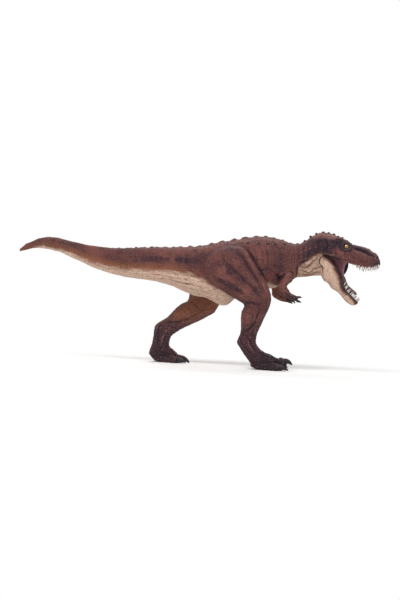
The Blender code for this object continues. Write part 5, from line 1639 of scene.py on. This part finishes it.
# Separate knobs of the neck and brow: X, half length and height in millimetres
NECK_KNOBS = (
    (91.0, 1.2, 1.2), (97.8, 1.3, 1.7), (103.0, 1.25, 1.9), (108.5, 1.3, 2.1), (114.7, 1.3, 2.1),
    (120.0, 1.2, 1.7), (124.8, 1.1, 1.2), (128.8, 1.1, 1.0), (132.8, 1.0, 0.9), (137.4, 1.0, 0.9),
    (141.2, 1.0, 0.8),
)
# Flat knobs of the flank: X and Z, and their half length, half width and height
SIDE_KNOB_SIZE = (1.5, 1.1, 0.75)
SIDE_KNOBS = ((44.1, 117.4), (53.9, 117.5), (62.8, 117.9), (70.2, 117.3), (78.3, 118.0))


def make_knobs(hide, material):
    """Blunt dark knobs down the middle of the neck and a short flat row on each flank."""
    skin = BVHTree.FromPolygons([Vector(p) for p in hide.co], hide.quads.tolist())
    places = []
    for x, size, tall in NECK_KNOBS:
        found = skin.ray_cast(Vector((x * MM, 0, 140 * MM)), Vector((0, 0, -1)))
        point = found[0] / MM - found[1] * 0.30 * tall
        lean = found[1] + Vector((-0.25, 0, 0))
        places.append((point, lean, (size * 1.2, size * 1.05, tall * 1.1)))
    for side in (-1, 1):
        for x, z in SIDE_KNOBS:
            found = skin.ray_cast(Vector((x * MM, side * 40 * MM, z * MM)), Vector((0, -side, 0)))
            places.append((found[0] / MM - found[1] * 0.2, found[1], SIDE_KNOB_SIZE))
    inputs = {"Detail": 3, "Lumpiness": 0.10, "Seed": 4, "Material": material}
    mesh = grown("back knobs", KNOBS, dots("back knobs", places), inputs)
    keep_in_box(mesh)
    piece("back_knobs", mesh, material, "body", "brown_skin")


# Where the eyes look, and the painted light spot, for 1 sideways
LOOK_AHEAD, LOOK_UP = 0.16, 0.04
SPARK_AHEAD, SPARK_UP, SPARK_SIZE = -0.02, 0.30, math.radians(10)


def make_eyes(eye, lid):
    """Glossy eyes with a round pupil and a painted light spot, held by thick lids."""
    for name, side in (("right_eye", -1), ("left_eye", 1)):
        low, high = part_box(name)
        centre, radius = (low + high) / 2, (high.x - low.x) / 2
        look = Vector((LOOK_AHEAD, side, LOOK_UP)).normalized()
        bm = bmesh.new()
        bmesh.ops.create_uvsphere(bm, u_segments=40, v_segments=24, radius=radius)
        turn = Vector((0, 0, 1)).rotation_difference(look).to_matrix().to_4x4()
        bmesh.ops.transform(bm, verts=bm.verts, matrix=turn)
        mesh = bpy.data.meshes.new(name)
        bm.to_mesh(mesh)
        bm.free()
        ring = [math.acos(max(-1, min(1, v.co.normalized() @ look))) / (math.pi / 2) for v in mesh.vertices]
        mesh.attributes.new("ring", "FLOAT", "POINT").data.foreach_set("value", ring)
        # The painted highlight spot
        light = Vector((SPARK_AHEAD, side, SPARK_UP)).normalized()
        spark = [float(v.co.normalized().angle(light) < SPARK_SIZE) for v in mesh.vertices]
        mesh.attributes.new("spark", "FLOAT", "POINT").data.foreach_set("value", spark)
        mesh.transform(Matrix.Translation(centre))
        mesh.shade_smooth()
        piece(f"{name}_ball", mesh, eye, "body", "eye_yellow", name)
        piece(f"{name}_lids", lids(name, centre, radius, side), lid, "body", "brown_skin")


# How far the lids leave the eye open above and below, and how far round they start from its corners
UPPER_LID, LOWER_LID, LID_ENDS = math.radians(34), math.radians(-38), 0.30
UPPER_ROOT, LOWER_ROOT = 1.75, -1.6
LID_RINGS, LID_STEPS = 26, 8


def lids(name, centre, radius, side):
    """Two thick shells that close over the eyeball from above and below, as far as a narrow slit."""
    corner = Vector((1, 0, -0.16)).normalized()
    out = Vector((0.10, side, 0.05)).normalized()
    out = (out - out.dot(corner) * corner).normalized()
    up = corner.cross(out)
    up = up if up.z > 0 else -up
    verts, faces = [], []
    rings, steps = LID_RINGS, LID_STEPS
    for edge, reach in ((UPPER_LID, UPPER_ROOT), (LOWER_LID, LOWER_ROOT)):
        first = len(verts)
        for k in range(rings):
            t = LID_ENDS + (math.pi - 2 * LID_ENDS) * k / (rings - 1)
            narrow = edge * math.sin(t) ** 0.6
            loop = []
            for shell in (1, 0):
                for j in range(steps):
                    share = j / (steps - 1)
                    share = share if shell else 1 - share
                    turn = narrow + share**1.6 * (reach - narrow)
                    size = 0.99 if not shell else 1.03 + 0.10 * min(1.0, share * 4) ** 0.5
                    spread = out * math.cos(turn) + up * math.sin(turn)
                    loop.append(corner * math.cos(t) + spread * math.sin(t))
                    loop[-1] = centre + loop[-1] * radius * size
            verts += loop
        size = 2 * steps
        for k in range(rings - 1):
            for j in range(size):
                a, b = first + k * size + j, first + k * size + (j + 1) % size
                faces.append((a, b, b + size, a + size))
        faces.append(tuple(first + j for j in reversed(range(size))))
        faces.append(tuple(first + (rings - 1) * size + j for j in range(size)))
    mesh = bpy.data.meshes.new(name)
    mesh.from_pydata(verts, [], faces)
    bm = bmesh.new()
    bm.from_mesh(mesh)
    bmesh.ops.recalc_face_normals(bm, faces=bm.faces)
    bm.to_mesh(mesh)
    bm.free()
    mesh.shade_smooth()
    return mesh


# Camera, light and ground

# What the photograph's height spans at the figure, the camera's distance, and where it aims, in metres
FRAME_HEIGHT = 0.5658
CAMERA_DISTANCE = 2.4
CAMERA_RISE = math.radians(1.8)
CAMERA_ROLL = math.radians(3.0)
AIM = Vector((0.0019, 0, 0.0614))


def make_camera():
    """A long lens at the photograph's height and roll."""
    data = bpy.data.cameras.new("photo camera")
    data.sensor_fit = "VERTICAL"
    data.sensor_height = 24
    data.lens = data.sensor_height * CAMERA_DISTANCE / FRAME_HEIGHT
    camera = bpy.data.objects.new("photo camera", data)
    bpy.context.scene.collection.objects.link(camera)
    back = Vector((0, -math.cos(CAMERA_RISE), math.sin(CAMERA_RISE)))
    camera.location = AIM + back * CAMERA_DISTANCE
    level = (-back).to_track_quat("-Z", "Y")
    camera.rotation_mode = "QUATERNION"
    camera.rotation_quaternion = level @ Quaternion((0, 0, 1), CAMERA_ROLL)
    bpy.context.scene.camera = camera


# Lamps: name, place, size in metres and power in watts
LAMPS = (
    ("key", (-0.45, -0.8, 1.2), 0.6, 12.0), ("spark", (-0.15, -1.6, 0.5), 0.12, 0.45),
    ("fill", (0.9, -0.8, 0.5), 0.9, 2.5), ("rim", (0.1, 0.9, 0.9), 0.8, 4.0),
)


def make_light(name, place, size, power):
    """A round lamp that points at the figure."""
    data = bpy.data.lights.new(name, "AREA")
    data.shape = "DISK"
    data.size = size
    data.energy = power
    lamp = bpy.data.objects.new(name, data)
    bpy.context.scene.collection.objects.link(lamp)
    lamp.location = place
    lamp.rotation_mode = "QUATERNION"
    lamp.rotation_quaternion = (AIM - Vector(place)).to_track_quat("-Z", "Y")


# The floor, in metres: its half size, and where it is pale round the feet before it fades to white
FLOOR_REACH = 12.0
FLOOR_MIDDLE, FLOOR_FADE = (0.022, 0, 0), (0.075, 0.24)


def seen_directly(tree):
    """1 for what the camera sees, straight or in a glossy surface, so that lighting stays as it is."""
    path = linked(tree, "ShaderNodeLightPath")
    return math_of(tree, "ADD", path.outputs["Is Camera Ray"], path.outputs["Is Glossy Ray"], True)


def make_stage():
    """A pale floor that fades to white away from the feet, in an even white room."""
    floor = bpy.data.meshes.new("floor")
    corners = [(x * FLOOR_REACH, y * FLOOR_REACH, 0) for x, y in ((-1, -1), (1, -1), (1, 1), (-1, 1))]
    floor.from_pydata(corners, [], [(0, 1, 2, 3)])
    material, tree, shader, where = material_base("pale floor")
    shader.inputs["Roughness"].default_value = 0.9
    shader.inputs["Specular IOR Level"].default_value = 0.1
    grain = noise_of(tree, where, 30.0)
    tree.links.new(mix_of(tree, grain, painted("#F9F8F7"), painted("#FCFBFA")), shader.inputs["Base Color"])
    away = linked(tree, "ShaderNodeVectorMath", {0: where, 1: FLOOR_MIDDLE}, operation="DISTANCE")
    fade = range_of(tree, away.outputs["Value"], *FLOOR_FADE)
    seen = seen_directly(tree)
    white = linked(tree, "ShaderNodeEmission", {"Color": (1, 1, 1, 1), "Strength": 1.0}).outputs[0]
    mixed = linked(tree, "ShaderNodeMixShader", {0: math_of(tree, "MULTIPLY", fade, seen)})
    tree.links.new(shader.outputs[0], mixed.inputs[1])
    tree.links.new(white, mixed.inputs[2])
    tree.links.new(mixed.outputs[0], tree.nodes["Material Output"].inputs["Surface"])
    obj = bpy.data.objects.new("floor", floor)
    floor.materials.append(material)
    bpy.context.scene.collection.objects.link(obj)

    world = bpy.data.worlds.new("white room")
    world.use_nodes = True
    tree = world.node_tree
    sky = tree.nodes["Background"]
    seen = seen_directly(tree)
    sky.inputs["Color"].default_value = (1, 1, 1, 1)
    strength = math_of(tree, "ADD", 0.50, math_of(tree, "MULTIPLY", seen, 0.50))
    tree.links.new(strength, sky.inputs["Strength"])
    bpy.context.scene.world = world
    bpy.context.scene.view_settings.view_transform = "Standard"
    for name, place, size, power in LAMPS:
        make_light(name, place, size, power)


def main():
    """Builds the looks, then every piece, then the room round them."""
    make_camera()
    hide_look = hide_material()
    tongue_look = plain_material(
        "tongue mauve", "#51262E", "#66323A", "#1E0D12", 0.36, 1500.0, 0.12, coat=0.35
    )
    mouth_look = plain_material("mouth pink", "#70293E", "#561E30", "#1C0B12", 0.48, 900.0, 0.2)
    # Near black paint that stands in for the shade deep in the mouth
    mouth_shadow_look = plain_material("painted mouth shadow", "#170E12", "#22141A", "#080506", 0.6, 900.0, 0.1, shine=0.15)
    gum_look = plain_material("gum", "#5A2A30", "#43202A", "#1B0C10", 0.40, 1400.0, 0.08, coat=0.3)
    # The teeth's edge colour is painted shade on the sides that turn to their neighbours
    tooth_look = plain_material(
        "tooth ivory", "#DAD4CA", "#ECE8E0", "#8E7C6A", 0.30, 1600.0, 0.03, 400.0, coat=0.3, edge="#6E5B52"
    )
    claw_look = plain_material(
        "claw horn", "#231F22", "#383337", "#0B090B", 0.55, 1300.0, 0.18, 260.0, shine=0.22
    )
    knob_look = plain_material(
        "knob paint", "#2C1F20", "#40302F", "#130D10", 0.66, 1100.0, 0.15, 300.0, shine=0.14
    )
    lid_look = plain_material(
        "eyelid paint", "#2A1B1D", "#3B2928", "#100A0A", 0.66, 1600.0, 0.08, 400.0, shine=0.14
    )
    hide = make_hide(hide_look)
    sculpt_jaw(hide_look)
    # Dark pieces that paint the shade deep in the throat and inside the cheeks
    slab("throat_shadow", THROAT_SHADOW, -CORE_HALF, CORE_HALF, "body", mouth_shadow_look)
    for side, low, high in (("right", -CHEEK_OUTER, -CHEEK_INNER), ("left", CHEEK_INNER, CHEEK_OUTER)):
        slab(f"{side}_cheek_shadow", CHEEK_SHADOW, low, high, "jaw", mouth_shadow_look)
    soft_part("tongue_flesh", "tongue", "jaw", "tongue_mauve", tongue_look, 16, tongue_shape)
    soft_part("mouth_flesh", "mouth_lining", "jaw", "mouth_pink", mouth_look, 4, lining_shape)
    soft_part("palate_flesh", "palate", "body", "mouth_pink", mouth_look, 6, palate_shape)
    make_teeth(hide, tooth_look, gum_look)
    make_claws(claw_look)
    make_knobs(hide, knob_look)
    make_eyes(eye_material(), lid_look)
    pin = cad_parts["jaw_pin"]
    pin.data.materials.clear()
    pin.data.materials.append(steel_material())
    make_stage()


main()
